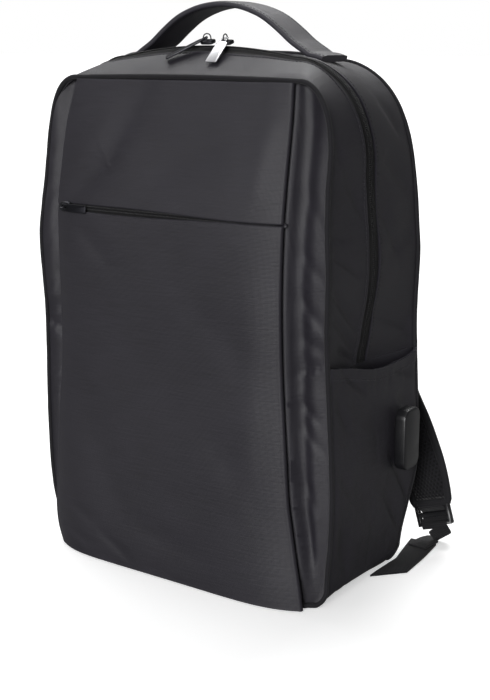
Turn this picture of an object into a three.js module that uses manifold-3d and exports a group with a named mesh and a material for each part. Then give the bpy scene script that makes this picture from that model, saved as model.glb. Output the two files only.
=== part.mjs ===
// A laptop backpack that stands on its base: cloth body, zips, handle, side pockets, charging port, straps.
// Millimetres, +Z up. The front faces -Y and +X is the right side seen from the front. The origin is at the
// middle of the base, halfway between the planes of the front and rear piping.
import * as THREE from 'three';
import { mergeVertices } from 'three/addons/utils/BufferGeometryUtils.js';
import Module from 'manifold-3d';

const wasm = await Module();
wasm.setup();

// Body
const BODY_WIDTH = 290;
const BODY_DEPTH = 142;
const BODY_HEIGHT = 434;
const HEM_HEIGHT = 186;
const FOOT_RADIUS = 14;
const FOOT_FRONT = 40;
const FOOT_BACK = 50;
const CLOTH = 2.2;
const GAP = 0.3;
const PIPING_RADIUS = 2;

// Front overlay panel and its zip
const OVERLAY_CLOTH = 1.8;
const LIP_DEPTH = 4.5;
const FOLD_RADIUS = 2.6;
const FRONT_ZIP_HEIGHT = 303;
const FRONT_SLIT = 6;
const POCKET_SPACE = 6;
const FOLD_ROOM = 4;

// Back panel
const BACK_PADDING = 6;
const BACK_CROWN = 5;

// Main zip
const TAPE_WIDTH = 15;
const TAPE_CLOTH = 1;
const TAPE_ROOM = 0.7;
const COIL_WIDTH = 5.4;
const COIL_HEIGHT = 1.3;

// Sliders and pulls
const SLIDER_LENGTH = 11;
const SLIDER_WIDTH = 8.4;
const SLIDER_HEIGHT = 2.8;
const BRIDGE_WIRE = 1.1;
const BRIDGE_RADIUS = 2.9;
const HINGE_RISE = 2.3;
const DARK_PULL = { length: 37, width: 8.5 };
const PULL_NECK = 5.8;
const PULL_RIM = 1;
const PULL_CORNER = 1.2;
const PULL_SHOULDER = 2;
const METAL_PULL = { length: 28, width: 10.5 };
const FRONT_PULL = { length: 24, width: 6.5 };

// Where each main slider stands, where the tip of its pull lies, and how far the tip is lifted off the cloth
const DARK_LIE = { x: 1, tipX: -29, tipY: -46, lift: 2.9 };
const METAL_LIE = { x: 19, tipX: 20, tipY: -50, lift: 1.2 };

// Handle
const HANDLE_WIDTH = 38;
const HANDLE_THICKNESS = 4.6;
const HANDLE_RISE = 31;
const HANDLE_SPAN = 166;
const HANDLE_SEAT = 16;
const HANDLE_CORNER = 1.6;
const HANDLE_DEPTH = 9;

// Side pockets
const POCKET_CLOTH = 1.8;
const POCKET_BULGE = 1;
const POCKET_FOOT = 1.72;
const BINDING_HEIGHT = 9;
const BINDING_CLOTH = 1;

// Charging port
const PORT_WIDTH = 26;
const PORT_HEIGHT = 52;
const PORT_DEPTH = 9;
const PORT_CORNER = 8;
const PORT_BEVEL = 1.5;
const PORT_FROM_REAR = 32;
const PORT_FOOT = 90;
const SOCKET_WIDTH = 12;
const SOCKET_GAP = 4.6;
const SOCKET_DEPTH = 11;
const SOCKET_SHEET = 0.4;
const TONGUE_DEPTH = 6;
const TONGUE_THICKNESS = 1.8;

// Straps
const PAD_WIDTH = 58;
const PAD_THICKNESS = 11;
const PAD_CORNER = 4.5;
const WEBBING_WIDTH = 25;
const WEBBING_GATHER = 0.7;
const WEBBING_CORNER = 0.7;
const WEBBING_THICKNESS = 1.6;
const BUCKLE_LENGTH = 20;
const BUCKLE_WIDTH = 34;
const BUCKLE_THICKNESS = 5;
const BUCKLE_BAR = 4;
const TAB_THICKNESS = 2.4;

const HALF = BODY_WIDTH / 2;
const FRONT_Y = -BODY_DEPTH / 2;

// The three seam lines round the body, each a rounded rectangle seen from the front.
// half, cornerX: shares of half the width. top, crown, cornerZ: shares of the height.
const SEAMS = {
  front: { half: 1.0, top: 0.942, crown: 0.004, cornerX: 0.235, cornerZ: 0.165 },
  zip: { half: 1.0, top: 0.991, crown: 0.018, cornerX: 0.42, cornerZ: 0.185 },
  rear: { half: 1.0, top: 0.982, crown: 0.014, cornerX: 0.55, cornerZ: 0.25 },
};

// Where each seam line lies in depth. place runs up one side of the outline: 0 middle of the base, 1 and 2
// the ends of the bottom corner, 3 the pocket hem, 4 and 5 the ends of the top corner, 6 the middle of the
// top. depth: share of the body's depth, from the plane of the front piping to the back.
const FRONT_COURSE = [
  { place: 0.0, depth: -0.144 },
  { place: 0.6, depth: -0.141 },
  { place: 0.85, depth: -0.113 },
  { place: 1.0, depth: -0.04 },
  { place: 1.25, depth: -0.008 },
  { place: 1.5, depth: 0.018 },
  { place: 2.0, depth: 0.037 },
  { place: 2.35, depth: 0.03 },
  { place: 2.65, depth: 0.028 },
  { place: 3.0, depth: 0.019 },
  { place: 3.43, depth: 0.0 },
  { place: 3.6, depth: -0.004 },
  { place: 3.76, depth: 0.008 },
  { place: 3.93, depth: 0.032 },
  { place: 4.13, depth: 0.058 },
  { place: 4.38, depth: 0.074 },
  { place: 5.0, depth: 0.078 },
  { place: 6.0, depth: 0.078 },
];
const ZIP_COURSE = [
  { place: 0.0, depth: 0.472 },
  { place: 3.0, depth: 0.472 },
  { place: 4.0, depth: 0.458 },
  { place: 4.35, depth: 0.41 },
  { place: 4.7, depth: 0.352 },
  { place: 5.0, depth: 0.331 },
  { place: 6.0, depth: 0.331 },
];
const REAR_COURSE = [
  { place: 0.0, depth: 0.81 },
  { place: 1.5, depth: 0.818 },
  { place: 2.0, depth: 0.862 },
  { place: 2.18, depth: 0.91 },
  { place: 2.38, depth: 0.995 },
  { place: 2.65, depth: 1.014 },
  { place: 3.0, depth: 1.012 },
  { place: 4.0, depth: 1.0 },
  { place: 6.0, depth: 1.0 },
];

// How the standing bag settles. height: share of the body's height. right, left: scale of the width on each
// side, with the left foot drawn in.
const SETTLE = [
  { height: 0.0, right: 1.0, left: 0.925 },
  { height: 0.03, right: 0.995, left: 0.93 },
  { height: 0.07, right: 1.0, left: 0.975 },
  { height: 0.115, right: 1.014, left: 1.0 },
  { height: 0.2, right: 1.025, left: 1.012 },
  { height: 0.29, right: 1.015, left: 1.012 },
  { height: 0.4, right: 0.998, left: 0.998 },
  { height: 0.5, right: 0.988, left: 0.988 },
  { height: 0.62, right: 0.998, left: 0.998 },
  { height: 0.7, right: 0.98, left: 0.98 },
  { height: 0.77, right: 0.967, left: 0.967 },
  { height: 0.84, right: 0.978, left: 0.978 },
  { height: 0.92, right: 1.0, left: 1.0 },
  { height: 1.0, right: 1.0, left: 1.0 },
];

// How far the side and top cloth swells past its seams, as a share of half the width: pressed in behind the
// pockets, full above them.
const SWELL = [
  { place: 0.0, out: 0.0 },
  { place: 0.9, out: 0.0 },
  { place: 1.0, out: 0.0 },
  { place: 1.6, out: -0.004 },
  { place: 2.0, out: -0.02 },
  { place: 2.3, out: -0.05 },
  { place: 2.6, out: -0.062 },
  { place: 3.0, out: -0.06 },
  { place: 3.15, out: -0.03 },
  { place: 3.4, out: 0.004 },
  { place: 3.7, out: 0.01 },
  { place: 4.0, out: 0.01 },
  { place: 5.0, out: 0.01 },
  { place: 6.0, out: 0.012 },
];

// The overlay panel by height. height: share of the body's height. middle, fold: depth of its middle and of
// its folded edges as shares of the body's depth. left, right: the folded edges as shares of half the width.
const OVERLAY = [
  { height: 0.0, middle: -0.188, fold: -0.094, left: 0.82, right: 0.923 },
  { height: 0.04, middle: -0.188, fold: -0.096, left: 0.86, right: 0.907 },
  { height: 0.09, middle: -0.184, fold: -0.098, left: 0.868, right: 0.88 },
  { height: 0.157, middle: -0.176, fold: -0.102, left: 0.845, right: 0.848 },
  { height: 0.2, middle: -0.172, fold: -0.106, left: 0.83, right: 0.83 },
  { height: 0.3, middle: -0.162, fold: -0.106, left: 0.807, right: 0.807 },
  { height: 0.42, middle: -0.156, fold: -0.1, left: 0.78, right: 0.78 },
  { height: 0.565, middle: -0.162, fold: -0.106, left: 0.772, right: 0.772 },
  { height: 0.7, middle: -0.146, fold: -0.096, left: 0.776, right: 0.776 },
  { height: 0.79, middle: -0.101, fold: -0.053, left: 0.77, right: 0.77 },
  { height: 0.853, middle: -0.052, fold: -0.013, left: 0.764, right: 0.764 },
  { height: 0.887, middle: -0.012, fold: 0.015, left: 0.755, right: 0.755 },
  { height: 0.94, middle: 0.05, fold: 0.058, left: 0.735, right: 0.735 },
];
const OVERLAY_FLATNESS = 6;

// Soft dents pressed into the overlay, each a valley along a line from (x0, z0) to (x1, z1). x: shares of
// half the width. z: shares of the height. depth, width: shares of the body's depth, a negative depth is a
// ridge.
const DENTS = [
  { x0: -0.66, z0: 0.72, x1: -0.18, z1: 0.93, depth: 0.022, width: 0.09 },
  { x0: -0.1, z0: 0.76, x1: 0.55, z1: 0.86, depth: 0.01, width: 0.12 },
  { x0: -0.6, z0: 0.66, x1: -0.1, z1: 0.63, depth: 0.012, width: 0.07 },
  { x0: 0.2, z0: 0.55, x1: 0.7, z1: 0.42, depth: 0.01, width: 0.1 },
  { x0: -0.7, z0: 0.4, x1: -0.3, z1: 0.12, depth: 0.012, width: 0.12 },
  { x0: 0.35, z0: 0.3, x1: 0.75, z1: 0.16, depth: 0.012, width: 0.09 },
];

// The slit of the front zip: share of its full height along its length from the left fold to the right.
const SLIT = [
  { along: 0.0, open: 0.16 },
  { along: 0.06, open: 0.75 },
  { along: 0.3, open: 1.0 },
  { along: 0.5, open: 0.8 },
  { along: 0.68, open: 0.35 },
  { along: 0.8, open: 0.16 },
  { along: 1.0, open: 0.14 },
];

// The pocket's hem from the front piping to the rear: share of the hem's height.
const HEM = [
  { along: 0.0, height: 1.05 },
  { along: 0.2, height: 1.022 },
  { along: 0.5, height: 0.976 },
  { along: 0.85, height: 0.972 },
  { along: 1.0, height: 1.0 },
];

// The handle's middle line. along: share of half its span. rise: share of its rise over the crown.
const HANDLE_LINE = [
  { along: 0.97, rise: -0.17 },
  { along: 0.84, rise: 0.04 },
  { along: 0.69, rise: 0.35 },
  { along: 0.53, rise: 0.64 },
  { along: 0.4, rise: 0.8 },
  { along: 0.22, rise: 0.94 },
  { along: 0.0, rise: 1.0 },
];

// The right shoulder pad's middle line. across: share of half the body's width. back: distance behind the
// rear piping as a share of the body's depth. height: share of the body's height. wide: share of its width.
const PAD_LINE = [
  { across: 0.29, back: 0.085, height: 0.925, wide: 0.86 },
  { across: 0.3, back: 0.16, height: 0.895, wide: 0.95 },
  { across: 0.33, back: 0.24, height: 0.83, wide: 1.0 },
  { across: 0.38, back: 0.3, height: 0.74, wide: 1.0 },
  { across: 0.43, back: 0.325, height: 0.63, wide: 1.0 },
  { across: 0.49, back: 0.32, height: 0.5, wide: 1.0 },
  { across: 0.57, back: 0.3, height: 0.38, wide: 1.0 },
  { across: 0.7, back: 0.275, height: 0.29, wide: 1.0 },
  { across: 0.86, back: 0.245, height: 0.21, wide: 1.0 },
  { across: 0.97, back: 0.22, height: 0.15, wide: 0.95 },
  { across: 1.02, back: 0.205, height: 0.115, wide: 0.82 },
  { across: 1.045, back: 0.2, height: 0.09, wide: 0.64 },
];

// The webbing from the buckle down to the anchor tab, in the same shares.
const WEBBING_LINE = [
  { across: 1.11, back: 0.235, height: 0.0165 },
  { across: 1.08, back: 0.235, height: 0.0112 },
  { across: 1.04, back: 0.18, height: 0.0094 },
  { across: 1.03, back: 0.05, height: 0.0094 },
];

// The anchor tab's outline on the floor. across: share of half the width. depth: share of the body's depth
// behind the plane of the front piping.
const TAB_OUTLINE = [
  { across: 0.99, depth: 0.54 },
  { across: 1.14, depth: 0.715 },
  { across: 1.12, depth: 0.98 },
  { across: 1.09, depth: 1.2 },
  { across: 0.92, depth: 1.19 },
  { across: 0.99, depth: 0.86 },
];

const CHARCOAL = 0x3b3a3f;

function cloth(hex = CHARCOAL) {
  return new THREE.MeshStandardMaterial({ color: hex, roughness: 0.9, metalness: 0, side: THREE.DoubleSide });
}

function hard(hex, metalness, roughness) {
  return new THREE.MeshStandardMaterial({ color: hex, roughness, metalness });
}

// A smooth value of one column at a place along a table: each stretch is a cubic whose slopes are those of
// the lines through the neighbouring rows.
function follow(table, column, at, key = 'place') {
  const last = table.length - 1;
  let i = 0;
  while (i < last - 1 && table[i + 1][key] < at) i += 1;
  const slope = (j) => {
    const a = table[Math.max(j - 1, 0)];
    const b = table[Math.min(j + 1, last)];
    return (b[column] - a[column]) / (b[key] - a[key]);
  };
  const a = table[i];
  const b = table[i + 1];
  const span = b[key] - a[key];
  const s = THREE.MathUtils.clamp((at - a[key]) / span, 0, 1);
  const s2 = s * s;
  const s3 = s2 * s;
  return a[column] * (2 * s3 - 3 * s2 + 1) + slope(i) * span * (s3 - 2 * s2 + s)
    + b[column] * (3 * s2 - 2 * s3) + slope(i + 1) * span * (s3 - s2);
}

function evenly(from, to, steps) {
  return Array.from({ length: steps + 1 }, (_, i) => from + ((to - from) * i) / steps);
}

// One point of a seam's outline on the right side at a place from 0 to 6, seen from the front.
function outlinePoint(seam, place) {
  const half = seam.half * HALF;
  const shoulder = (seam.top - seam.crown) * BODY_HEIGHT;
  const cornerX = seam.cornerX * HALF;
  const cornerZ = seam.cornerZ * BODY_HEIGHT;
  const step = Math.min(Math.floor(place), 5);
  const s = place - step;
  const turn = (s * Math.PI) / 2;
  if (step === 0) return { x: s * (half - FOOT_RADIUS), z: 0 };
  if (step === 1) {
    return { x: half - FOOT_RADIUS * (1 - Math.sin(turn)), z: FOOT_RADIUS * (1 - Math.cos(turn)) };
  }
  if (step === 2) return { x: half, z: FOOT_RADIUS + s * (HEM_HEIGHT - FOOT_RADIUS) };
  if (step === 3) return { x: half, z: HEM_HEIGHT + s * (shoulder - cornerZ - HEM_HEIGHT) };
  if (step === 4) {
    return { x: half - cornerX * (1 - Math.cos(turn)), z: shoulder - cornerZ * (1 - Math.sin(turn)) };
  }
  const x = (half - cornerX) * (1 - s);
  return { x, z: shoulder + seam.crown * BODY_HEIGHT * (1 - (1 - s) ** 2) };
}

// The outline's normal in the plane of x and z, out of the body.
function outlineNormal(pointAt, place) {
  const small = 0.01;
  const a = pointAt(Math.max(place - small, 0));
  const b = pointAt(Math.min(place + small, 6));
  return new THREE.Vector2(b.z - a.z, a.x - b.x).normalize();
}

// The place up a seam's right side whose height is z.
function placeAt(seam, z) {
  const shoulder = (seam.top - seam.crown) * BODY_HEIGHT;
  const cornerZ = seam.cornerZ * BODY_HEIGHT;
  if (z < FOOT_RADIUS) return 1 + (Math.acos(1 - z / FOOT_RADIUS) * 2) / Math.PI;
  if (z < HEM_HEIGHT) return 2 + (z - FOOT_RADIUS) / (HEM_HEIGHT - FOOT_RADIUS);
  if (z < shoulder - cornerZ) return 3 + (z - HEM_HEIGHT) / (shoulder - cornerZ - HEM_HEIGHT);
  return 4 + (Math.asin(Math.min(1 - (shoulder - z) / cornerZ, 1)) * 2) / Math.PI;
}

// The x of the settled bag for the x and z that the outlines give.
function settled(x, z) {
  return x * follow(SETTLE, x < 0 ? 'left' : 'right', z / BODY_HEIGHT, 'height');
}

function seamDepth(course, place) {
  return FRONT_Y + follow(course, 'depth', place) * BODY_DEPTH;
}

// A point of the body's side and top cloth at a place of the outline and a depth y, moved out by lift along
// the outline's normal. side is 1 on the right and -1 on the left.
function skin(side, place, y, { lift = 0, swell = 1 } = {}) {
  const zipY = seamDepth(ZIP_COURSE, place);
  const ahead = y < zipY;
  const endY = seamDepth(ahead ? FRONT_COURSE : REAR_COURSE, place);
  const share = THREE.MathUtils.clamp((y - zipY) / (endY - zipY), 0, 1);
  const end = ahead ? SEAMS.front : SEAMS.rear;
  const at = (p) => {
    const a = outlinePoint(SEAMS.zip, p);
    const b = outlinePoint(end, p);
    return { x: a.x + (b.x - a.x) * share, z: a.z + (b.z - a.z) * share };
  };
  const here = at(place);
  const normal = outlineNormal(at, place);
  const fullness = Math.cos((share * Math.PI) / 2);
  const out = lift + swell * follow(SWELL, 'out', place) * HALF * fullness;
  const z = here.z + normal.y * out;
  return new THREE.Vector3(settled(side * (here.x + normal.x * out), z), y, z);
}

// A flat list of grid points and triangles as a geometry, turned right way out.
function solid(points, faces) {
  let volume = 0;
  for (const [a, b, c] of faces) {
    volume += points[a].dot(new THREE.Vector3().crossVectors(points[b], points[c]));
  }
  const order = volume < 0 ? faces.map(([a, b, c]) => [a, c, b]) : faces;
  const geometry = new THREE.BufferGeometry();
  geometry.setAttribute('position', new THREE.Float32BufferAttribute(points.flatMap((p) => p.toArray()), 3));
  geometry.setIndex(order.flat());
  geometry.computeVertexNormals();
  return geometry;
}

// A wall from a grid of outer points: the inner face is the outer one moved towards the body's middle by the
// wall's thickness along the grid's normals, and rims close the edges.
function wall(grid, thickness) {
  const rows = grid.length;
  const columns = grid[0].length;
  const rawNormal = (i, j) => {
    const a = grid[Math.min(i + 1, rows - 1)][j].clone().sub(grid[Math.max(i - 1, 0)][j]);
    const b = grid[i][Math.min(j + 1, columns - 1)].clone().sub(grid[i][Math.max(j - 1, 0)]);
    return a.cross(b).normalize();
  };
  const [midRow, midColumn] = [Math.floor(rows / 2), Math.floor(columns / 2)];
  const heart = new THREE.Vector3(0, 0, BODY_HEIGHT / 2).sub(grid[midRow][midColumn]);
  const inward = Math.sign(rawNormal(midRow, midColumn).dot(heart));
  const normalAt = (i, j) => rawNormal(i, j).multiplyScalar(inward * thickness);
  const outer = grid.flat();
  const inner = grid.flatMap((row, i) => row.map((p, j) => p.clone().add(normalAt(i, j))));
  const id = (i, j) => i * columns + j;
  const shift = outer.length;
  const faces = [];
  for (let i = 0; i < rows - 1; i += 1) {
    for (let j = 0; j < columns - 1; j += 1) {
      const [a, b, c, d] = [id(i, j), id(i + 1, j), id(i + 1, j + 1), id(i, j + 1)];
      faces.push([a, b, c], [a, c, d], [a + shift, c + shift, b + shift], [a + shift, d + shift, c + shift]);
    }
  }
  const rim = [];
  for (let j = 0; j < columns; j += 1) rim.push(id(0, j));
  for (let i = 1; i < rows; i += 1) rim.push(id(i, columns - 1));
  for (let j = columns - 2; j >= 0; j -= 1) rim.push(id(rows - 1, j));
  for (let i = rows - 2; i > 0; i -= 1) rim.push(id(i, 0));
  rim.forEach((a, k) => {
    const b = rim[(k + 1) % rim.length];
    faces.push([a, b + shift, a + shift], [a, b, b + shift]);
  });
  return solid([...outer, ...inner], faces);
}

// A section carried along stations. Each station has a point, the directions across and out, and the scales
// wide and thick of the section's two axes.
function sweep(stations, section) {
  const count = section.length;
  const points = stations.flatMap(({ point, across, out, wide = 1, thick = 1 }) => section.map(
    (s) => point.clone().addScaledVector(across, s.x * wide).addScaledVector(out, s.y * thick),
  ));
  const faces = [];
  for (let i = 0; i < stations.length - 1; i += 1) {
    for (let j = 0; j < count; j += 1) {
      const [a, b] = [i * count + j, i * count + ((j + 1) % count)];
      faces.push([a, b, b + count], [a, b + count, a + count]);
    }
  }
  const last = (stations.length - 1) * count;
  for (const [a, b, c] of THREE.ShapeUtils.triangulateShape(section, [])) {
    faces.push([a, c, b], [last + a, last + b, last + c]);
  }
  return solid(points, faces);
}

// Stations along a smooth curve, with out kept as near as it can be to a given direction.
function stationsAlong(curve, steps, outward, scales = () => ({})) {
  return evenly(0, 1, steps).map((t) => {
    const tangent = curve.getTangent(t);
    const across = new THREE.Vector3().crossVectors(tangent, outward(t)).normalize();
    const out = new THREE.Vector3().crossVectors(across, tangent).normalize();
    return { point: curve.getPoint(t), across, out, ...scales(t) };
  });
}

// Stations at given points, with the tangent taken through each point's neighbours.
function stationsThrough(points, outward) {
  const last = points.length - 1;
  return points.map((point, i) => {
    const tangent = points[Math.min(i + 1, last)].clone().sub(points[Math.max(i - 1, 0)]).normalize();
    const across = new THREE.Vector3().crossVectors(tangent, outward(point)).normalize();
    const out = new THREE.Vector3().crossVectors(across, tangent).normalize();
    return { point, across, out };
  });
}

// A rectangle with rounded corners as section points.
function roundedSection(width, height, radius, cornerSteps = 2) {
  const centres = [[1, 1, 0], [-1, 1, 1], [-1, -1, 2], [1, -1, 3]];
  return centres.flatMap(([sx, sy, quarter]) => evenly(0, 1, cornerSteps).map((s) => {
    const angle = ((quarter + s) * Math.PI) / 2;
    return new THREE.Vector2(
      sx * (width / 2 - radius) + radius * Math.cos(angle),
      sy * (height / 2 - radius) + radius * Math.sin(angle),
    );
  }));
}

function roundSection(radius, sides) {
  return evenly(0, sides - 1, sides - 1).map((k) => {
    const angle = (k * 2 * Math.PI) / sides;
    return new THREE.Vector2(radius * Math.cos(angle), radius * Math.sin(angle));
  });
}

function toManifold(geometry) {
  const bare = new THREE.BufferGeometry();
  bare.setAttribute('position', geometry.getAttribute('position'));
  if (geometry.index) bare.setIndex(geometry.index);
  const merged = mergeVertices(bare, 1e-4);
  return new wasm.Manifold(new wasm.Mesh({
    numProp: 3,
    vertProperties: new Float32Array(merged.getAttribute('position').array),
    triVerts: new Uint32Array(merged.index.array),
  }));
}

function fromManifold(manifold) {
  const mesh = manifold.getMesh();
  const geometry = new THREE.BufferGeometry();
  geometry.setAttribute('position', new THREE.BufferAttribute(new Float32Array(mesh.vertProperties), 3));
  geometry.setIndex(new THREE.BufferAttribute(new Uint32Array(mesh.triVerts), 1));
  geometry.computeVertexNormals();
  return geometry;
}

const backpack = new THREE.Group();

function add(name, geometry, material) {
  const mesh = new THREE.Mesh(geometry, material);
  mesh.name = name;
  backpack.add(mesh);
  return mesh;
}

const SIDES = [{ side: 1, name: 'right' }, { side: -1, name: 'left' }];
const UPPER_PLACES = [...evenly(3, 4, 5), ...evenly(4, 5, 7).slice(1), ...evenly(5, 6, 5).slice(1)];
const LOWER_PLACES = [...evenly(0, 1, 3), ...evenly(1, 2, 5).slice(1), ...evenly(2, 3, 6).slice(1)];

// Stops along the arch over the top, from the hem on the right to the hem on the left.
function archStops() {
  const right = UPPER_PLACES.map((place) => ({ side: 1, place }));
  const left = UPPER_PLACES.slice(0, -1).reverse().map((place) => ({ side: -1, place }));
  return [...right, ...left];
}

// Stops along the trough under the hems, from the hem on the left to the hem on the right.
function troughStops() {
  const left = LOWER_PLACES.slice(1).reverse().map((place) => ({ side: -1, place }));
  const right = LOWER_PLACES.map((place) => ({ side: 1, place }));
  return [...left, ...right];
}

const JOINT_PLACE = GAP / 2 / (HEM_HEIGHT - FOOT_RADIUS);

function keptUnder(place) {
  return Math.min(place, 3 - JOINT_PLACE);
}

function keptOver(place) {
  return Math.max(place, 3 + JOINT_PLACE);
}

const SEAM_ROOM = PIPING_RADIUS + 2 * GAP;
const FILL_INSET = SEAM_ROOM + 4 * GAP;

function gussetGrid(stops, keep, fromY, toY, steps) {
  return stops.map(({ side, place }) => {
    const p = keep(place);
    return evenly(0, 1, steps).map((s) => skin(side, p, THREE.MathUtils.lerp(fromY(p), toY(p), s)));
  });
}

const frontEdge = (place) => seamDepth(FRONT_COURSE, place) + SEAM_ROOM;
const rearEdge = (place) => seamDepth(REAR_COURSE, place) - SEAM_ROOM;
const zipFrontEdge = (place) => seamDepth(ZIP_COURSE, place) - TAPE_WIDTH / 2 - TAPE_ROOM;
const zipRearEdge = (place) => seamDepth(ZIP_COURSE, place) + TAPE_WIDTH / 2 + TAPE_ROOM;

function buildGussets() {
  const front = gussetGrid(archStops(), keptOver, frontEdge, zipFrontEdge, 3);
  const rear = gussetGrid(archStops(), keptOver, zipRearEdge, rearEdge, 4);
  const lower = gussetGrid(troughStops(), keptUnder, frontEdge, rearEdge, 8);
  add('gusset_front', wall(front, CLOTH), cloth());
  add('gusset_rear', wall(rear, CLOTH), cloth());
  add('gusset_lower', wall(lower, CLOTH), cloth());
}

// The zip's tape with its coil standing along the middle.
function buildMainZip() {
  const half = TAPE_WIDTH / 2;
  const coil = COIL_WIDTH / 2;
  const section = [
    [-half, -TAPE_CLOTH], [half, -TAPE_CLOTH], [half, 0], [coil, 0],
    [coil * 0.75, COIL_HEIGHT], [-coil * 0.75, COIL_HEIGHT], [-coil, 0], [-half, 0],
  ].map(([x, y]) => new THREE.Vector2(x, y));
  const stations = archStops().map(({ side, place }) => {
    const p = keptOver(place);
    const y = seamDepth(ZIP_COURSE, p);
    const point = skin(side, p, y);
    return { point, across: new THREE.Vector3(0, 1, 0), out: skin(side, p, y, { lift: 1 }).sub(point) };
  });
  add('zip_tape_main', sweep(stations, section), cloth(0x2b2a2e));
}

// Piping round a seam: a closed line with its ends meeting under the base.
function buildPiping(name, seam, course) {
  const places = [...evenly(0, 1, 3), ...evenly(1, 2, 5).slice(1), ...evenly(2, 3, 10).slice(1),
    ...evenly(3, 4, 5).slice(1), ...evenly(4, 5, 7).slice(1), ...evenly(5, 6, 2).slice(1)];
  const lowest = PIPING_RADIUS + GAP;
  const at = (side, place) => {
    const { x, z } = outlinePoint(seam, place);
    return new THREE.Vector3(settled(side * x, z), seamDepth(course, place), Math.max(z, lowest));
  };
  const right = places.map((place) => at(1, place));
  const left = places.slice(0, -1).reverse().map((place) => at(-1, place));
  right[0].x += GAP / 2;
  left[left.length - 1].x -= GAP / 2;
  const outward = (p) => new THREE.Vector3(p.x, 0, p.z - BODY_HEIGHT / 2);
  const stations = stationsThrough([...right, ...left], outward);
  add(name, sweep(stations, roundSection(PIPING_RADIUS, 6)), cloth(0x333236));
}

function dentAt(x, z) {
  return DENTS.reduce((sum, dent) => {
    const from = new THREE.Vector2(dent.x0 * HALF, dent.z0 * BODY_HEIGHT);
    const line = new THREE.Vector2(dent.x1 * HALF, dent.z1 * BODY_HEIGHT).sub(from);
    const point = new THREE.Vector2(x, z).sub(from);
    const s = THREE.MathUtils.clamp(point.dot(line) / line.lengthSq(), 0, 1);
    const away = point.sub(line.multiplyScalar(s)).length() / (dent.width * BODY_DEPTH);
    return sum + dent.depth * BODY_DEPTH * Math.exp(-away * away);
  }, 0);
}

function overlayRow(z) {
  const read = (column) => follow(OVERLAY, column, z / BODY_HEIGHT, 'height');
  return {
    middle: FRONT_Y + read('middle') * BODY_DEPTH,
    fold: FRONT_Y + read('fold') * BODY_DEPTH,
    left: -read('left') * HALF,
    right: read('right') * HALF,
  };
}

// Depth of the overlay's outer face at (x, z), pressed in by the dents away from its folded edges.
function overlayDepth(x, z) {
  const row = overlayRow(z);
  const share = Math.min(Math.abs(x / (x < 0 ? row.left : row.right)), 1);
  const hold = 1 - share ** 8;
  return row.middle + (row.fold - row.middle) * share ** OVERLAY_FLATNESS + dentAt(x, z) * hold;
}

// Depth of the front wall's outer face, which runs from the piping to behind the overlay.
function frontWallDepth(x, z) {
  const place = placeAt(SEAMS.front, z);
  const edge = outlinePoint(SEAMS.front, place).x - FILL_INSET;
  const row = overlayRow(z);
  const shown = settled(x, z);
  const fold = x < 0 ? -row.left : row.right;
  const shownEdge = Math.abs(settled(Math.sign(x) * edge, z));
  const inset = THREE.MathUtils.smoothstep(Math.abs(shown), fold - FOLD_ROOM, shownEdge);
  const behind = row.fold + POCKET_SPACE;
  const sideY = seamDepth(FRONT_COURSE, place);
  const flatRun = SEAMS.front.half * HALF - FOOT_RADIUS;
  const seamY = seamDepth(FRONT_COURSE, Math.min(Math.abs(x) / flatRun, 1.1));
  const low = 1 - THREE.MathUtils.smoothstep(z, 0, FOOT_FRONT);
  const inner = THREE.MathUtils.lerp(behind, seamY + SEAM_ROOM, low);
  const y = THREE.MathUtils.lerp(inner, sideY, inset);
  return Math.abs(shown) < fold ? Math.max(y, overlayDepth(shown, z) + OVERLAY_CLOTH + 2 * GAP) : y;
}

function crownRise(seam, x, z) {
  const flat = (seam.half - seam.cornerX) * HALF;
  const level = THREE.MathUtils.smoothstep(z, BODY_HEIGHT / 2, (seam.top - seam.crown) * BODY_HEIGHT);
  return seam.crown * BODY_HEIGHT * level * Math.max(0, 1 - (x / flat) ** 2);
}

// Rows that fill a seam's outline, set in from it: each has the height and the half width of its ends.
function fillRows(seam, inset) {
  const lowest = 2 * PIPING_RADIUS + CLOTH + GAP;
  const first = 1 + (2 * Math.acos((FOOT_RADIUS - lowest) / (FOOT_RADIUS - inset))) / Math.PI;
  const places = [...evenly(first, 2, 3), ...evenly(2, 3, 5).slice(1), ...evenly(3, 4, 4).slice(1),
    ...evenly(4, 5, 5).slice(1)];
  return places.map((place) => {
    const { x, z } = outlinePoint(seam, place);
    const normal = outlineNormal((p) => outlinePoint(seam, Math.min(p, 5)), place);
    return { edge: x - normal.x * inset, z: z - normal.y * inset };
  });
}

function fillGrid(seam, inset, columns, depthOf) {
  return fillRows(seam, inset).map(({ edge, z }) => evenly(-1, 1, columns).map((s) => {
    const x = edge * s * (1.25 - 0.25 * s * s);
    return new THREE.Vector3(settled(x, z), depthOf(x, z), z + crownRise(seam, x, z));
  }));
}

function buildFrontWall() {
  add('front_wall', wall(fillGrid(SEAMS.front, FILL_INSET, 14, frontWallDepth), CLOTH), cloth());
}

function backDepth(x, z) {
  const place = placeAt(SEAMS.rear, z);
  const edge = outlinePoint(SEAMS.rear, place).x;
  const across = 1 - (x / edge) ** 4;
  const up = THREE.MathUtils.smoothstep(z, 0, FOOT_BACK)
    * (1 - THREE.MathUtils.smoothstep(z, BODY_HEIGHT * 0.86, SEAMS.rear.top * BODY_HEIGHT));
  const seat = BACK_PADDING - SEAM_ROOM + 2 * GAP;
  return seamDepth(REAR_COURSE, place) + seat + BACK_CROWN * across * up;
}

function buildBackPanel() {
  const grid = fillGrid(SEAMS.rear, SEAM_ROOM + GAP, 10, backDepth);
  add('back_panel', wall(grid, BACK_PADDING), cloth(0x2e2d31));
}

function slitHalf(along) {
  return (follow(SLIT, 'open', along, 'along') * FRONT_SLIT) / 2;
}

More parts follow.
